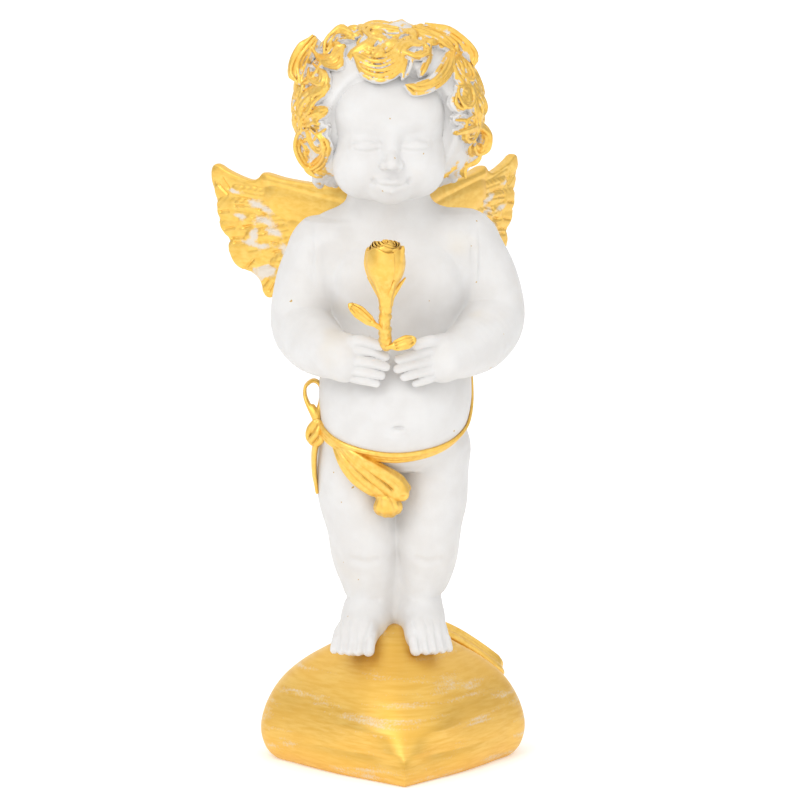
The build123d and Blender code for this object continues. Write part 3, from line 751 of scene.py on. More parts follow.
def feather(u, z, root, tip, wide, narrow, half):
    """A feather's distance to its edge and its half thickness; the thin ones have a quill and barbs."""
    run = np.array([tip[0] - root[0], tip[1] - root[1]])
    length = np.linalg.norm(run)
    along = ((u - root[0]) * run[0] + (z - root[1]) * run[1]) / length
    across = ((z - root[1]) * run[0] - (u - root[0]) * run[1]) / length
    t = np.clip(along / length, 0, 1)
    radius = wide + (narrow - wide) * t
    d = np.hypot(across, along - t * length) - radius
    share = np.clip(1 + d / radius, 0, 1)
    body = half + 0.45 * np.sqrt(np.clip(1 - share ** 2, 0, 1))
    if half < QUILLED_BELOW:
        waves = np.sin(2 * math.pi * (along + 0.9 * np.abs(across)) / BARB_PITCH)
        barbs = waves * np.clip((d + 1.6) / 1.6, 0, 1)
        return d, body + 0.07 * barbs - 0.14 * np.exp(-(across / 0.25) ** 2) * (t < 0.9)
    return d, body - 0.6 * np.clip((d + 3.2) / 3.2, 0, 1) ** 1.5


def wing_clay():
    """One wing in its own plane: distance out, thickness, height."""
    clay = Clay((-1.0, -4.4, 103.0), (43.6, 4.4, 138.5), 0.22)
    u, n, z = clay.grid()
    corners = [(a, b, 0) for a, b in WING_EDGE + WING_EDGE[:1]]
    edge = outline_distance(curve_through(corners, 5 * len(WING_EDGE))[:, :2], u, z)
    thick = np.full_like(edge, 0.45)
    gilt = np.full_like(edge, 0.9)
    for *form, gold in FEATHERS:
        d, body = feather(u, z, *form)
        on = (d < 0) & (body > thick)
        thick = np.where(on, body, thick)
        gilt = np.where(on, gold, gilt)
    for cu, cz, long, wide, slope in BARE:
        c, s = math.cos(math.radians(slope)), math.sin(math.radians(slope))
        a, b = ((u - cu) * c + (z - cz) * s) / long, ((z - cz) * c - (u - cu) * s) / wide
        gilt = gilt - RUBBED * np.exp(-(a * a + b * b))
    for cut in CUTS:
        thick = thick - CUT_DEPTH * np.exp(-(line_distance(u, z, *cut) / CUT_WIDTH) ** 2)
    thick = thick + 1.3 * np.clip((9 - u) / 9, 0, 1) ** 2
    clay.d = -smooth_min(-(np.abs(n) - thick), -np.broadcast_to(edge, clay.shape), 0.7).astype(np.float32)
    flat = gilt[:, 0, :]
    for axis in (0, 1):
        flat = (np.roll(flat, 1, axis) + flat + np.roll(flat, -1, axis)) / 3
    clay.gilt = flat
    return clay


def wing_gilt(clay, points):
    """Gilding of the wing at each point."""
    at = np.clip((points - clay.low) / clay.step, 0, np.array(clay.shape) - 1).astype(int)
    return clay.gilt[at[:, 0], at[:, 2]]


def wing_frame(side):
    """Matrix and origin that take a wing's own plane to the figure."""
    s, sweep = SIGN[side], math.radians(WING_SWEEP[side])
    out = np.array([s * math.cos(sweep), math.sin(sweep), 0])
    across = np.array([-out[1], out[0], 0])
    return np.column_stack([out, across, (0, 0, 1)]), np.array([s * WING_ROOT[0], WING_ROOT[1], 0])


# ---------------------------------------------------------------- sash

# Round the hips from the knot on the right, past the front, and back to it
BELT = [
    (-16.6, -6.6, 79.8), (-13.4, -11.6, 77.0), (-8.0, -15.4, 74.5), (-1.0, -16.8, 73.4),
    (6.0, -16.0, 74.4), (12.0, -12.4, 77.1), (15.6, -7.0, 81.1), (17.0, -2.0, 86.0), (17.0, 0.6, 92.0),
    (15.2, 5.2, 97.6), (10.0, 10.8, 99.4), (0.0, 13.2, 96.8), (-9.6, 11.6, 91.4), (-15.2, 6.4, 86.0),
    (-17.4, 0.4, 82.2), (-16.6, -6.6, 79.8),
]


def sash_belt():
    """Three cords side by side round the hips, low in front and high behind."""
    clay = Clay((-22, -20, 69), (22, 16.5, 102), 0.24)
    path = curve_through(BELT, 110)
    t = np.linspace(0, 1, len(path))
    wide = np.interp(t, [0, 0.1, 0.2, 0.27, 0.33, 0.4, 0.6, 0.8, 1],
                     [0.8, 1.15, 1.25, 1.0, 0.6, 0.22, 0.2, 0.5, 0.8])
    for offset, radius in ((-1, 0.55), (0, 0.5), (1, 0.6)):
        line = onto(BODY, path + np.outer(wide * offset * 0.95, (0, -0.25, 1)), 0.3)
        clay.add(rope(line, radius * np.interp(wide, [0.2, 1.2], [0.62, 1.1])), 0.12)
    return clay


def sash_knot():
    """A small knot on the right hip: two upright turns crossed by a slanting one."""
    clay = Clay((-25, -13, 68), (-11, 3, 90), 0.22)
    turns = [([(-18.4, -5.6, 81.6), (-20.0, -5.2, 79.6), (-20.2, -4.8, 77.4), (-18.9, -4.6, 75.9)], 0.85),
             ([(-17.9, -5.8, 81.2), (-17.3, -6.6, 79.2), (-17.6, -6.4, 77.2), (-18.6, -5.4, 76.0)], 0.85),
             ([(-17.4, -6.0, 81.0), (-18.5, -7.0, 79.0), (-19.8, -6.0, 77.0), (-19.2, -4.8, 76.0)], 0.75)]
    for points, radius in turns:
        clay.add(rope(curve_through(points, 14), radius * np.array([0.7] + [1.0] * 12 + [0.8])), 0.18)
    clay.add(blob((-18.4, -4.8, 78.6), (1.5, 2.0, 2.9)), 0.3)
    clay.add(rope([(-17.8, -6.0, 80.2), (-16.2, -7.4, 80.6)], [0.8, 0.8]), 0.4)
    return clay


def sash_bow_loop():
    """The bow's loop, standing up from the knot beside the waist."""
    clay = Clay((-25, -12, 76), (-11, 8, 94), 0.22)
    loop = curve_through([(-18.6, -4.8, 80.4), (-19.2, -4.2, 82.4), (-20.2, -3.2, 84.6), (-21.0, -2.2, 86.8),
                          (-20.8, -1.6, 89.0), (-19.0, -1.2, 90.2), (-17.4, -1.4, 89.0), (-17.4, -2.6, 86.0),
                          (-18.0, -4.0, 83.0), (-18.4, -4.8, 81.0)], 44)
    for offset in (-0.7, 0.0, 0.7):
        line = loop + np.array((0.1, 1.0, 0.1)) * offset
        clay.add(rope(line, 0.44 + 0.08 * np.sin(np.linspace(0, 9, len(line)))), 0.2)
    root = [(-18.4, -5.0, 81.6), (-18.9, -4.6, 83.2), (-19.4, -3.8, 84.4)]
    clay.add(rope(curve_through(root, 8), 0.75), 0.5)
    return clay


# Folds of the front tail, as they hang: start, bends and end, then the radius
FRONT_FOLDS = [
    [(-15.0, -9.8, 77.2), (-13.2, -12.0, 72.8), (-10.4, -12.8, 69.0), (-6.8, -12.8, 66.4),
     (-4.6, -12.2, 65.4), 1.25],
    [(-14.8, -10.6, 77.6), (-12.4, -13.0, 73.4), (-9.0, -13.9, 69.6), (-5.6, -13.7, 66.8),
     (-3.4, -12.8, 65.0), 1.1],
    [(-14.2, -11.4, 77.6), (-11.2, -13.9, 74.0), (-7.6, -14.7, 70.6), (-3.8, -14.3, 67.4),
     (-1.0, -13.0, 64.6), 1.15],
    [(-13.2, -12.4, 77.3), (-9.8, -14.7, 74.2), (-6.0, -15.3, 71.4), (-2.0, -14.6, 68.5),
     (0.8, -13.2, 65.4), 1.1],
    [(-12.2, -13.2, 76.7), (-8.4, -15.4, 74.0), (-4.4, -15.6, 71.6), (-0.8, -14.5, 69.2),
     (1.5, -13.2, 66.7), 0.95],
    [(-4.8, -12.2, 66.0), (-4.3, -12.8, 64.0), (-4.7, -12.8, 62.4), (-4.6, -12.2, 61.2), 0.9],
    [(-4.4, -12.6, 65.8), (-3.5, -13.4, 64.0), (-3.4, -13.3, 62.2), (-3.3, -12.4, 60.7), 0.95],
    [(-4.0, -12.8, 65.6), (-2.6, -13.6, 64.0), (-2.0, -13.4, 62.2), (-1.9, -12.4, 60.7), 0.95],
    [(-3.4, -12.8, 65.4), (-1.7, -13.2, 64.0), (-0.8, -12.9, 62.6), (-0.6, -12.2, 61.4), 0.9],
]


def sash_front_tail():
    """The tail that hangs across the front: folds side by side, then two turned-up ends."""
    clay = Clay((-18, -20, 57), (6, -6, 81), 0.22)
    for *points, radius in FRONT_FOLDS:
        line = curve_through(points, 18)
        swell = np.interp(np.linspace(0, 1, 18), [0, 0.3, 0.8, 1], [0.55, 0.95, 1.1, 0.85])
        clay.add(rope(line + (0.3, 1.3, -0.1), 1.3 * swell), 0.6)
        clay.add(rope(line, radius * 0.82 * swell), 0.2)
    clay.add(blob((0.4, -13.4, 65.8), (1.9, 1.6, 2.2), spin(roll=-35)), 0.8)
    clay.add(blob((-2.6, -12.6, 62.2), (2.3, 1.0, 1.5)), 0.6)
    clay.carve(blob((0.9, -15.2, 64.8), (0.8, 0.9, 0.6)), 0.5)
    return clay


def sash_side_tail():
    """The narrow tail that hangs down the outside of the right hip."""
    clay = Clay((-24, -10, 59), (-14, 4, 80), 0.22)
    for offset, radius in ((-0.8, 0.55), (0.0, 0.75), (0.8, 0.55)):
        line = [(-18.6, -5.0 + offset, 76.6), (-19.0, -3.6 + offset, 73.0), (-18.9, -2.6 + offset, 68.6),
                (-18.5, -2.0 + offset * 0.6, 66.0), (-18.2, -1.6, 63.9)]
        clay.add(rope(curve_through(line, 22), radius * np.linspace(1.1, 0.5, 22)), 0.25)
    return clay


# ---------------------------------------------------------------- rose

ROSE = np.array([-4.1, -26.4])
# Leaves: the way from the stem to the tip, half the width, the way that the upper face looks
LEAVES = {
    "right": ([(-4.8, -26.0, 106.4), (-6.9, -26.2, 107.7), (-9.6, -26.0, 109.9), (-12.2, -25.2, 111.9)],
              1.6, (0.1, -1, 0.25)),
    "left": ([(-3.4, -25.0, 102.0), (-2.0, -25.6, 102.2), (0.4, -25.8, 103.0), (2.7, -25.4, 103.7)],
             1.7, (0, -1, 0.3)),
}
# The bloom's side: radius, 0 and height
BLOOM_SIDE = [
    (1.4, 0, 113.4), (2.1, 0, 115.0), (3.4, 0, 117.2), (4.4, 0, 119.3), (4.85, 0, 121.6), (4.55, 0, 124.4),
    (3.9, 0, 127.0),
]


def rose_bloom():
    """A tight bloom: overlapping outer petals and a ragged crown wound of smaller ones."""
    x0, y0 = ROSE
    clay = Clay((x0 - 6, y0 - 6, 113.6), (x0 + 6, y0 + 6, 129), 0.17)
    x, y, z = clay.grid()
    rho, angle = np.hypot(x - x0, y - y0), np.arctan2(y - y0, x - x0)
    sides = curve_through(BLOOM_SIDE, 60)
    cup = np.interp(z, sides[:, 2], sides[:, 0])
    turn = (angle / (2 * math.pi) * 3 + 0.55) % 1
    petals = cup * (0.93 + 0.075 * turn)
    rim = 124.5 + 0.9 * np.sin(math.pi * turn) + 0.3 * np.sin(5 * angle)
    outside = np.maximum((rho - petals) * 0.9, (z - rim) * 0.9)
    hollow = np.maximum(rho - (petals - 0.75), 122.4 - z)
    outside = np.maximum(outside, -hollow)
    wound = np.abs((rho * 1.9 + angle / (2 * math.pi)) % 1 - 0.5) / 1.9 - 0.13
    crown = np.maximum(wound, z - (126.7 + 0.45 * np.sin(angle * 3 + rho * 2.2) - 0.06 * rho * rho))
    crown = np.maximum(crown, np.maximum(rho - petals + 0.5, 121.8 - z))
    bud = np.sqrt((rho / 1.5) ** 2 + ((z - 123.6) / 2.6) ** 2) * 1.5 - 1.5
    clay.d = smooth_min(smooth_min(outside, crown, 0.15), bud, 0.4).astype(np.float32)
    lip = [(x0 + 3.4, y0 - 2.2, 123.2), (x0 + 3.9, y0 - 1.8, 124.9), (x0 + 4.1, y0 - 1.4, 125.8)]
    clay.add(rope(curve_through(lip, 6), [0.7, 0.7, 0.6, 0.5, 0.35, 0.2]), 0.4)
    return clay


def rose_calyx():
    """The cup under the bloom, with sepals lying against it and two that stand off."""
    x0, y0 = ROSE + np.array((0.2, 0.2))
    clay = Clay((x0 - 7, y0 - 7, 109), (x0 + 7, y0 + 7, 120), 0.2)
    clay.add(column([(x0, y0, 110.0, 1.35, 1.35), (x0, y0, 112.0, 1.4, 1.4), (x0, y0, 114.2, 1.75, 1.75),
                     (x0, y0, 115.6, 2.2, 2.2)]))
    for i in range(5):
        a = 2 * math.pi * i / 5 + 0.15
        c, s = math.cos(a), math.sin(a)
        mid, tip = (3.1, 4.5) if i in (0, 2) else (2.8, 3.75)
        path = curve_through([(x0 + 1.1 * c, y0 + 1.1 * s, 112.0), (x0 + 1.5 * c, y0 + 1.5 * s, 113.8),
                              (x0 + mid * c, y0 + mid * s, 116.2), (x0 + tip * c, y0 + tip * s, 118.0)], 9)
        clay.add(rope(path, np.interp(np.arange(9), [0, 4, 8], [0.6, 0.62, 0.25])), 0.35)
    return clay


def rose_stem():
    """A knobbly stem down into the hands."""
    low, high = (np.array(v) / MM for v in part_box("rose_stem"))
    clay = Clay(low - 1.6, high + 1.6, 0.2)
    bends = [(-3.9, -26.2, 113.6), (-4.2, -26.0, 109.0), (-4.0, -25.4, 105.0), (-3.8, -24.4, 103.0),
             (-3.6, -22.8, 101.8)]
    path = curve_through(bends, 34)
    knobs = 1.24 + 0.16 * np.sin(np.arange(34) * 1.9) + 0.10 * np.sin(np.arange(34) * 3.3 + 1)
    clay.add(rope(path, knobs))
    for i, a in enumerate(np.linspace(0, 26, 13)):
        p = path[2 + 2 * i] + 1.25 * np.array((math.cos(a), math.sin(a), 0))
        clay.add(blob(p, (0.5, 0.5, 0.8)), 0.3)
    return clay


def rose_leaf(points, wide, face):
    """A leaf along a curve, grooved lengthways like the mould's carving."""
    path = curve_through(points, 16)
    swell = wide * np.interp(np.linspace(0, 1, 16), [0, 0.25, 0.45, 0.72, 0.9, 1],
                             [0.22, 0.26, 0.8, 1, 0.72, 0.3])
    low, high = path.min(0) - 3.4, path.max(0) + 3.4
    clay = Clay(low, high, 0.18)
    side = np.cross(path[-1] - path[0], face)
    side /= np.linalg.norm(side)
    clay.add(rope(path, np.maximum(swell, 0.35), flat=(face, 0.42)))
    clay.add(rope(path[:9], np.linspace(0.75, 0.4, 9)), 0.3)
    for offset in (-0.62, 0.0, 0.62):
        vein = path[6:15] + np.outer(swell[6:15] * offset, side)
        vein = vein + np.outer(swell[6:15] * 0.42 * math.sqrt(1 - offset ** 2), face)
        clay.carve(rope(vein, 0.2), 0.35)
    return clay


# ---------------------------------------------------------------- heart and ribbon

HEART_LOW, HEART_HIGH = (np.array(v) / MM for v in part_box("heart_base"))
# Height over the table, share of the full outline, share of the way to the tip
HEART_PROFILE = [
    (0.2, 0.895, 0.965), (1.0, 0.93, 0.985), (2.4, 0.965, 0.998), (4.4, 0.99, 1.0), (6.2, 1.0, 0.98),
    (8.2, 0.998, 0.945), (10.6, 0.98, 0.90), (13.5, 0.945, 0.84), (17.0, 0.88, 0.755), (20.2, 0.79, 0.66),
    (23.4, 0.66, 0.545), (27.0, 0.47, 0.39), (30.2, 0.31, 0.26), (32.5, 0.12, 0.14),
]
TIP_EDGE = 6.4                              # height at which the sharp edge at the tip ends


def heart_outline(height, share, tip_share, count):
    """Half a heart from the tip round to the cleft: pointed low down, rounder towards the crown."""
    wide, tip = HEART_HIGH[0] * share * 1.01, HEART_LOW[1] * tip_share
    lobe, cleft = HEART_HIGH[1] * share, HEART_HIGH[1] * 0.655 * share
    blunt = np.interp(height, [TIP_EDGE, 12.0], [0, 1])
    full = np.interp(height, [TIP_EDGE, 16.0], [0, 1])
    ends = [(0.0, tip), (0.27 * wide, (0.735 + 0.155 * blunt) * tip),
            (0.54 * wide, (0.47 + 0.12 * full) * tip), (0.83 * wide, (0.10 + 0.06 * full) * tip),
            (wide, 0.25 * lobe), (0.86 * wide, 0.76 * lobe),
            (0.52 * wide, lobe), (0.2 * wide, 0.93 * lobe), (0.0, cleft)]
    start, first = np.array(ends[0]), np.array(ends[1])
    crisp = np.interp(height, [TIP_EDGE - 1.5, TIP_EDGE + 1.0], [1, 0])
    before = (2 * start - first) * crisp + np.array((-first[0], first[1])) * (1 - crisp)
    return curve_through([(x, y, 0) for x, y in ends], count, (*before, 0))


def closed_ring(half, height):
    """A whole outline at one height, from its right half."""
    ring = np.vstack([half, half[-2:0:-1] * np.array((-1, 1, 1))])
    ring[:, 2] = height
    return ring


def stacked(name, rings):
    """A closed mesh over rings of equally many points, bottom to top."""
    count, last = len(rings[0]), (len(rings) - 1) * len(rings[0])
    middles = [(0, 2, rings[0][0, 2]), (0, rings[-1][:, 1].mean(), rings[-1][0, 2] + 0.25)]
    points = np.vstack(rings + [middles])
    faces = []
    for level in range(len(rings) - 1):
        for i in range(count):
            j, a, b = (i + 1) % count, level * count, (level + 1) * count
            faces.append((a + i, a + j, b + j, b + i))
    bottom, top = len(points) - 2, len(points) - 1
    faces += [(bottom, (i + 1) % count, i) for i in range(count)]
    faces += [(top, last + i, last + (i + 1) % count) for i in range(count)]
    mesh = bpy.data.meshes.new(name)
    mesh.from_pydata((points * MM).tolist(), [], faces)
    mesh.shade_smooth()
    return mesh


def heart_mesh():
    """The solid heart, creased at its tip and its cleft."""
    half = 150
    profile = curve_through(HEART_PROFILE, 110)
    rings = [closed_ring(heart_outline(height, share, tip_share, half), height)
             for height, share, tip_share in profile]
    mesh = stacked("heart_cast", rings)
    count = len(rings[0])
    for edge in mesh.edges:
        a, b = edge.vertices
        if max(a, b) < len(rings) * count and a % count == b % count:
            at_tip = a % count == 0 and mesh.vertices[a].co.z / MM < TIP_EDGE
            edge.use_edge_sharp = at_tip or a % count == half - 1
    return mesh


def felt_mesh():
    """The felt pad, cut a little inside the heart's underside."""
    rings = [closed_ring(heart_outline(0, share, share + 0.06, 60), height)
             for height, share in ((0.02, 0.84), (0.15, 0.85), (0.85, 0.85))]
    return stacked("felt_cut", rings)


def base_ribbon():
    """A ribbon lying over the heart's shoulder behind the left foot, grooved between raised edges."""
    clay = Clay((2, 2, 12), (33, 20, 36), 0.25)
    path = curve_through([(6.0, 8.0, 30.8), (10.4, 9.4, 29.7), (14.6, 10.4, 27.7), (18.6, 11.0, 25.1),
                          (22.4, 11.4, 22.3), (25.2, 12.4, 19.8), (25.8, 14.4, 18.2)], 40)
    fade = np.interp(np.arange(40), [0, 5, 30, 39], [0.6, 1, 1, 0.45])
    across = np.array((-0.2, -0.9, -0.35))
    for offset, radius in ((-1.9, 0.75), (-0.8, 0.5), (0.3, 0.5), (1.5, 0.85)):
        clay.add(rope(path + np.outer(offset * fade, across), radius * fade), 0.3)
    clay.add(rope(path + (-0.4, 0, -0.8), 2.2 * fade, flat=((0.55, 0.1, 0.83), 0.5)), 0.4)
    return clay


# ---------------------------------------------------------------- from clay to pieces


def piece_from(name, clay, material, replaces, gilt=None, place=None):
    """One Blender mesh from a block of clay; gilt gives each point's share of gold, 0 to 1."""
    points, quads = clay.surface()
    share = None if gilt is None else gilt(clay, points)
    # Painted shade: how deep each point lies in a narrow hollow, used to darken the gold paint there.
    groove_shade = clay.recess(points, 0.5)
    if place is not None:
        matrix, origin = place
        points = points @ matrix.T + origin
        if np.linalg.det(matrix) < 0:
            quads = quads[:, ::-1]
    mesh = bpy.data.meshes.new(name)
    mesh.from_pydata((points * MM).tolist(), [], quads.tolist())
    mesh.shade_smooth()
    mesh.set_sharp_from_angle(angle=math.radians(60))
    for layer_name, values in (("gilt", share), ("groove_shade", groove_shade)):
        if values is not None:
            layer = mesh.attributes.new(layer_name, "FLOAT", "POINT")
            layer.data.foreach_set("value", values.astype(np.float32))
    piece = finish_piece(name, mesh, material, replaces)
    if clay.skin is not None:
        clay.d = clay.skin
        mesh.normals_split_custom_set_from_vertices(clay.slopes(points).tolist())
    return piece


def finish_piece(name, mesh, material, replaces):
    """Links a mesh as a piece that rides on the root and stands for CAD nodes."""
    mesh.update()
    mesh.validate()
    mesh.materials.append(material)
    piece = bpy.data.objects.new(name, mesh)
    bpy.context.scene.collection.objects.link(piece)
    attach(piece, "root")
    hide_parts(*replaces)
    return piece


# ---------------------------------------------------------------- materials


def plug(tree, socket, value):
    """Links an output, or sets a plain value."""
    if isinstance(value, bpy.types.NodeSocket):
        tree.links.new(value, socket)
    else:
        socket.default_value = value


def maths(tree, operation, a, b=0.0):
    """One sum on outputs or plain numbers."""
    made = tree.nodes.new("ShaderNodeMath")
    made.operation = operation
    plug(tree, made.inputs[0], a)
    plug(tree, made.inputs[1], b)
    return made.outputs[0]


def mixed(tree, factor, a, b):
    """Between two colours or two numbers."""
    made = tree.nodes.new("ShaderNodeMix")
    colour = isinstance(b, tuple) or (isinstance(b, bpy.types.NodeSocket) and b.type == "RGBA")
    made.data_type = "RGBA" if colour else "FLOAT"
    first = 6 if colour else 2
    plug(tree, made.inputs[0], factor)
    plug(tree, made.inputs[first], a)
    plug(tree, made.inputs[first + 1], b)
    return made.outputs[2 if colour else 0]


def ramp(tree, value, low, high):
    """0 below low, 1 above high, smooth between."""
    made = tree.nodes.new("ShaderNodeMapRange")
    made.interpolation_type = "SMOOTHSTEP"
    plug(tree, made.inputs["Value"], value)
    made.inputs["From Min"].default_value = low
    made.inputs["From Max"].default_value = high
    return made.outputs["Result"]


def noise(tree, size, detail=3.0, stretch=(1, 1, 1), offset=0.0):
    """Noise whose lumps are about size millimetres, drawn out along an axis by stretch."""
    spot = tree.nodes.new("ShaderNodeTexCoord")
    scaled = tree.nodes.new("ShaderNodeVectorMath")
    scaled.operation = "MULTIPLY_ADD"
    tree.links.new(spot.outputs["Object"], scaled.inputs[0])
    scaled.inputs[1].default_value = [1 / (MM * size * s) for s in stretch]
    scaled.inputs[2].default_value = (offset, offset, offset)
    made = tree.nodes.new("ShaderNodeTexNoise")
    made.inputs["Scale"].default_value = 1.0
    made.inputs["Detail"].default_value = detail
    tree.links.new(scaled.outputs[0], made.inputs["Vector"])
    return made.outputs["Fac"]


def bump(tree, height, distance, normal=None):
    """A normal tilted by a height of up to distance millimetres, on top of another normal."""
    made = tree.nodes.new("ShaderNodeBump")
    made.inputs["Distance"].default_value = distance * MM
    made.inputs["Strength"].default_value = 1.0
    tree.links.new(height, made.inputs["Height"])
    if normal is not None:
        tree.links.new(normal, made.inputs["Normal"])
    return made.outputs["Normal"]


def shell(name):
    """A new material, its tree and its shader."""
    material = bpy.data.materials.new(name)
    material.use_nodes = True
    return material, material.node_tree, material.node_tree.nodes["Principled BSDF"]


def resin_colour(tree):
    """Cast white resin with faint warm smudges."""
    smudge = ramp(tree, noise(tree, 14.0, 2.0, offset=3.0), 0.60, 0.80)
    cloudy = ramp(tree, noise(tree, 5.0, 3.0), 0.3, 0.7)
    colour = mixed(tree, cloudy, (0.68, 0.665, 0.65, 1), (0.715, 0.705, 0.695, 1))
    return mixed(tree, maths(tree, "MULTIPLY", smudge, 0.35), colour, (0.70, 0.62, 0.49, 1))


def attribute(tree, name):
    """One of the numbers stored on a sculpted piece's points."""
    made = tree.nodes.new("ShaderNodeAttribute")
    made.attribute_name = name
    return made.outputs["Fac"]


def gold_colour(tree, stretch):
    """Brushed gold paint: streaks of thinner and thicker coats, with painted shade darkening it to brown in
    grooves.
    """
    streak = ramp(tree, noise(tree, 0.9, 4.0, stretch), 0.28, 0.72)
    coat = ramp(tree, noise(tree, 8.0, 2.0, stretch=(1.6, 1.6, 0.9), offset=5.0), 0.3, 0.7)
    colour = mixed(tree, streak, (0.82, 0.50, 0.09, 1), (0.92, 0.63, 0.17, 1))
    colour = mixed(tree, maths(tree, "MULTIPLY", coat, 0.6), colour, (0.90, 0.56, 0.11, 1))
    # Painted shade: the gold is darkened towards brown in grooves and narrow hollows.
    painted_shade = maths(tree, "MULTIPLY", ramp(tree, attribute(tree, "groove_shade"), 0.2, 0.8), 0.85)
    return mixed(tree, painted_shade, colour, (0.38, 0.18, 0.02, 1))


def white_resin():
    """Matt cast resin, with a stray fleck of gold here and there."""
    material, tree, shader = shell("white_resin")
    fleck = ramp(tree, noise(tree, 1.5, 1.0, offset=11.0), 0.795, 0.80)
    plug(tree, shader.inputs["Base Color"], mixed(tree, fleck, resin_colour(tree), (0.55, 0.36, 0.10, 1)))
    plug(tree, shader.inputs["Roughness"], mixed(tree, noise(tree, 3.0), 0.42, 0.6))
    shader.inputs["Subsurface Weight"].default_value = 0.12
    shader.inputs["Subsurface Radius"].default_value = (1.0, 0.85, 0.7)
    shader.inputs["Subsurface Scale"].default_value = 0.0015
    shader.inputs["Specular IOR Level"].default_value = 0.35
    waves = bump(tree, noise(tree, 3.2, 1.0, offset=2.0), 0.10)
    plug(tree, shader.inputs["Normal"], bump(tree, noise(tree, 0.35, 3.0), 0.02, waves))
    return material


def rubbed_in_patches(tree, thin, speckle, worn):
    """Share of gold on a piece that is painted all over: half of it goes where the noise is over worn."""
    bare = ramp(tree, maths(tree, "ADD", thin, speckle), worn, worn + 0.2)
    return maths(tree, "SUBTRACT", 1.0, maths(tree, "MULTIPLY", bare, 0.5))


def rubbed_by_relief(tree, speckle, soft, film):
    """Share of gold by the piece's own gilding, ragged at its edges and never under film."""
    patch = maths(tree, "SUBTRACT", noise(tree, 2.2, 2.0, offset=21.0), 0.5)
    ragged = maths(tree, "ADD", attribute(tree, "gilt"), patch)
    cover = ramp(tree, maths(tree, "ADD", ragged, speckle), 0.46 - soft, 0.46 + soft)
    return maths(tree, "ADD", maths(tree, "MULTIPLY", cover, 1.0 - film), film)


def gold_paint(name, stretch, worn=None, soft=0.1, rough=0.36, film=0.0, deep=0.0):
    """Satin gold paint over white resin, rubbed thin in patches; without worn, by the piece's gilding."""
    material, tree, shader = shell(name)
    thin = noise(tree, 3.0, 4.0, stretch, offset=8.0)
    grain = noise(tree, 0.5, 3.0, offset=1.0)
    speckle = maths(tree, "MULTIPLY", maths(tree, "SUBTRACT", grain, 0.5), 0.35)
    if worn is None:
        cover = rubbed_by_relief(tree, speckle, soft, film)
    else:
        cover = rubbed_in_patches(tree, thin, speckle, worn)
    gold = mixed(tree, deep, gold_colour(tree, stretch), (0.60, 0.28, 0.02, 1))
    plug(tree, shader.inputs["Base Color"], mixed(tree, cover, resin_colour(tree), gold))
    plug(tree, shader.inputs["Metallic"], maths(tree, "MULTIPLY", cover, 0.86))
    plug(tree, shader.inputs["Roughness"], mixed(tree, cover, 0.55, mixed(tree, thin, rough, rough + 0.16)))
    shader.inputs["Coat Weight"].default_value = 0.2
    shader.inputs["Coat Roughness"].default_value = 0.35
    brushed = bump(tree, noise(tree, 0.4, 3.0, stretch), 0.007)
    plug(tree, shader.inputs["Normal"], bump(tree, cover, 0.02, brushed))
    return material


def felt():
    """Short-haired felt."""
    material, tree, shader = shell("felt_fibres")
    fibre = noise(tree, 0.3, 4.0, (3, 1, 1))
    plug(tree, shader.inputs["Base Color"], mixed(tree, fibre, (0.55, 0.53, 0.48, 1), (0.74, 0.72, 0.66, 1)))
    shader.inputs["Roughness"].default_value = 0.95
    shader.inputs["Sheen Weight"].default_value = 0.4
    plug(tree, shader.inputs["Normal"], bump(tree, fibre, 0.12))
    return material


def steel():
    """Drawn steel pin."""
    material, tree, shader = shell("drawn_steel")
    lines = noise(tree, 0.25, 3.0, (1, 1, 12))
    plug(tree, shader.inputs["Base Color"], mixed(tree, lines, (0.42, 0.42, 0.43, 1), (0.60, 0.60, 0.61, 1)))
    shader.inputs["Metallic"].default_value = 1.0
    plug(tree, shader.inputs["Roughness"], mixed(tree, lines, 0.25, 0.4))
    plug(tree, shader.inputs["Normal"], bump(tree, lines, 0.01))
    return material


# ---------------------------------------------------------------- build

WHITE = white_resin()
BASE_GOLD = gold_paint("base_gold", (11, 5, 0.8), 0.56, rough=0.44, deep=0.16)
GOLD = gold_paint("gold_paint", (1.5, 1.5, 1.5), 0.70)
HAIR_GOLD = gold_paint("hair_gold", (1, 1, 1))
WING_GOLD = gold_paint("wing_gold", (2, 2, 1), soft=0.26, film=0.2)

BODY = Clay((-23, -23, 54), (23, 18, 104), 0.5)
trunk(BODY)
lower_body(BODY)

piece_from("torso_cast", torso_clay(), WHITE, ["torso"])
piece_from("legs_cast", legs_clay(), WHITE, ["legs"])
for side in SIGN:
    piece_from(f"arm_{side}_cast", arm_clay(side), WHITE, [f"arm_{side}"])
piece_from("head_cast", head_clay(), WHITE, ["head"])
piece_from("hair_curls", hair_clay(), HAIR_GOLD, ["hair"], hair_gilt)
wing = wing_clay()
for side in SIGN:
    piece_from(f"wing_{side}_cast", wing, WING_GOLD, [f"wing_{side}"],
               wing_gilt, wing_frame(side))
for name, made in [("belt", sash_belt), ("knot", sash_knot), ("bow_loop", sash_bow_loop),
                   ("front_tail", sash_front_tail), ("side_tail", sash_side_tail)]:
    piece_from(f"sash_{name}_cast", made(), GOLD, [f"sash_{name}"])
for name, made in [("bloom", rose_bloom), ("calyx", rose_calyx), ("stem", rose_stem)]:
    piece_from(f"rose_{name}_cast", made(), GOLD, [f"rose_{name}"])
for side, leaf in LEAVES.items():
    piece_from(f"rose_leaf_{side}_cast", rose_leaf(*leaf), GOLD, [f"rose_leaf_{side}"])
finish_piece("heart_cast", heart_mesh(), BASE_GOLD, ["heart_base"])
finish_piece("felt_cut", felt_mesh(), felt(), ["base_felt_pad"])
piece_from("base_ribbon_cast", base_ribbon(), GOLD, ["base_ribbon"])

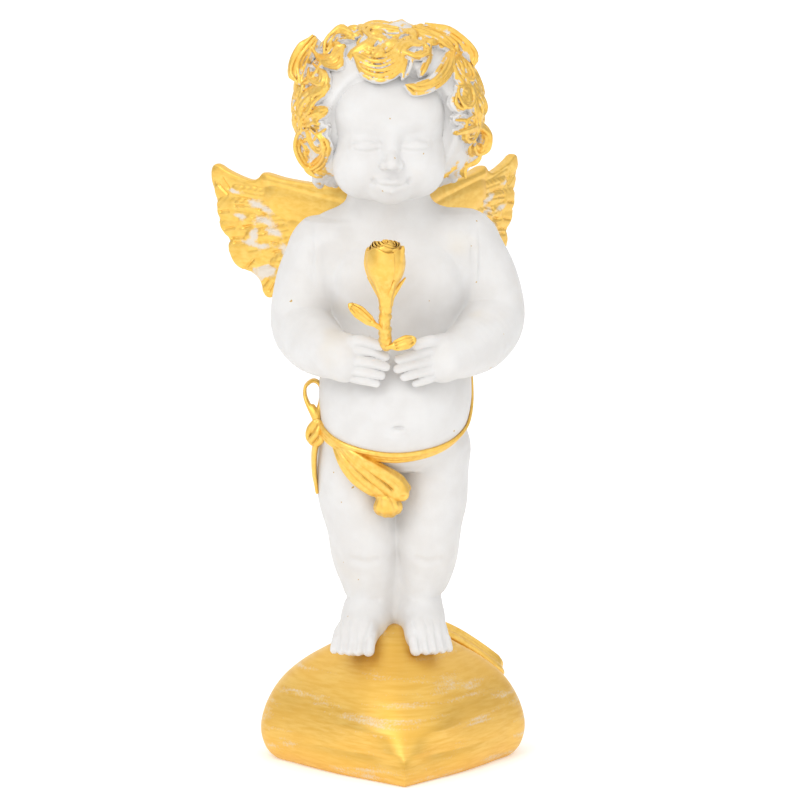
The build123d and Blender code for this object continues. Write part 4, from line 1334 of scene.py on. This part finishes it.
for node_name, material in [("ankle_dowels", steel()), ("neck_dowel", steel())]:
    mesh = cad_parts[node_name].data
    if not mesh.materials:
        mesh.materials.append(material)
    for i in range(len(mesh.materials)):
        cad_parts[node_name].material_slots[i].material = material

# ---------------------------------------------------------------- studio


# Name, place and size in metres, power in watts
LAMPS = [("key", (-0.55, -0.8, 0.9), 0.6, 3.6), ("fill", (0.8, -0.7, 0.5), 0.8, 1.0)]
LAMP_AIM = Vector((0, 0, 0.09))
CAMERA_AIM = (0.00116, 0.08385)             # metres to the camera's right of the origin, and up


def studio():
    """Pale floor, light from all round that is darker low down at the sides, and two lamps."""
    bpy.ops.mesh.primitive_plane_add(size=8, location=(0, 0, 0))
    floor = bpy.context.object
    floor.name = "floor"
    material, tree, shader = shell("floor_white")
    shader.inputs["Base Color"].default_value = (0.9, 0.9, 0.9, 1)
    shader.inputs["Roughness"].default_value = 0.9
    shader.inputs["Emission Color"].default_value = (1, 1, 1, 1)
    shader.inputs["Emission Strength"].default_value = 0.25
    floor.data.materials.append(material)
    world = bpy.data.worlds.new("studio")
    bpy.context.scene.world = world
    bpy.context.scene.view_settings.view_transform = "Standard"
    world.use_nodes = True
    tree = world.node_tree
    spot = tree.nodes.new("ShaderNodeTexCoord")
    split = tree.nodes.new("ShaderNodeSeparateXYZ")
    tree.links.new(spot.outputs["Generated"], split.inputs[0])
    aside = maths(tree, "ABSOLUTE", maths(tree, "ADD", split.outputs["X"], 0.1))
    beside = ramp(tree, aside, 0.4, 0.95)
    below = maths(tree, "SUBTRACT", 1.0, ramp(tree, split.outputs["Z"], 0.3, 0.65))
    dark = maths(tree, "MULTIPLY", maths(tree, "MULTIPLY", beside, below), 0.55)
    tree.nodes["Background"].inputs["Color"].default_value = (1, 1, 1, 1)
    light = maths(tree, "MULTIPLY", maths(tree, "SUBTRACT", 1.0, dark), 1.05)
    plug(tree, tree.nodes["Background"].inputs["Strength"], light)
    for name, place, size, power in LAMPS:
        light = bpy.data.lights.new(name, "AREA")
        light.size, light.energy = size, power
        lamp = bpy.data.objects.new(name, light)
        lamp.location = place
        lamp.rotation_euler = (LAMP_AIM - Vector(place)).to_track_quat("-Z", "Y").to_euler()
        bpy.context.scene.collection.objects.link(lamp)


def camera():
    """The camera: 4 degrees to the figure's right of straight ahead, 10 degrees up."""
    azimuth, rise, distance = math.radians(-4), math.radians(10), 3.0
    back = Vector((math.sin(azimuth) * math.cos(rise), -math.cos(azimuth) * math.cos(rise), math.sin(rise)))
    right = Vector((math.cos(azimuth), math.sin(azimuth), 0))
    up = back.cross(right)
    middle = right * CAMERA_AIM[0] + up * CAMERA_AIM[1]
    data = bpy.data.cameras.new("camera")
    data.lens = 579.7
    data.sensor_width = 36
    eye = bpy.data.objects.new("camera", data)
    eye.location = middle + back * distance
    eye.rotation_euler = (-back).to_track_quat("-Z", "Y").to_euler()
    bpy.context.scene.collection.objects.link(eye)
    bpy.context.scene.camera = eye


studio()
camera()
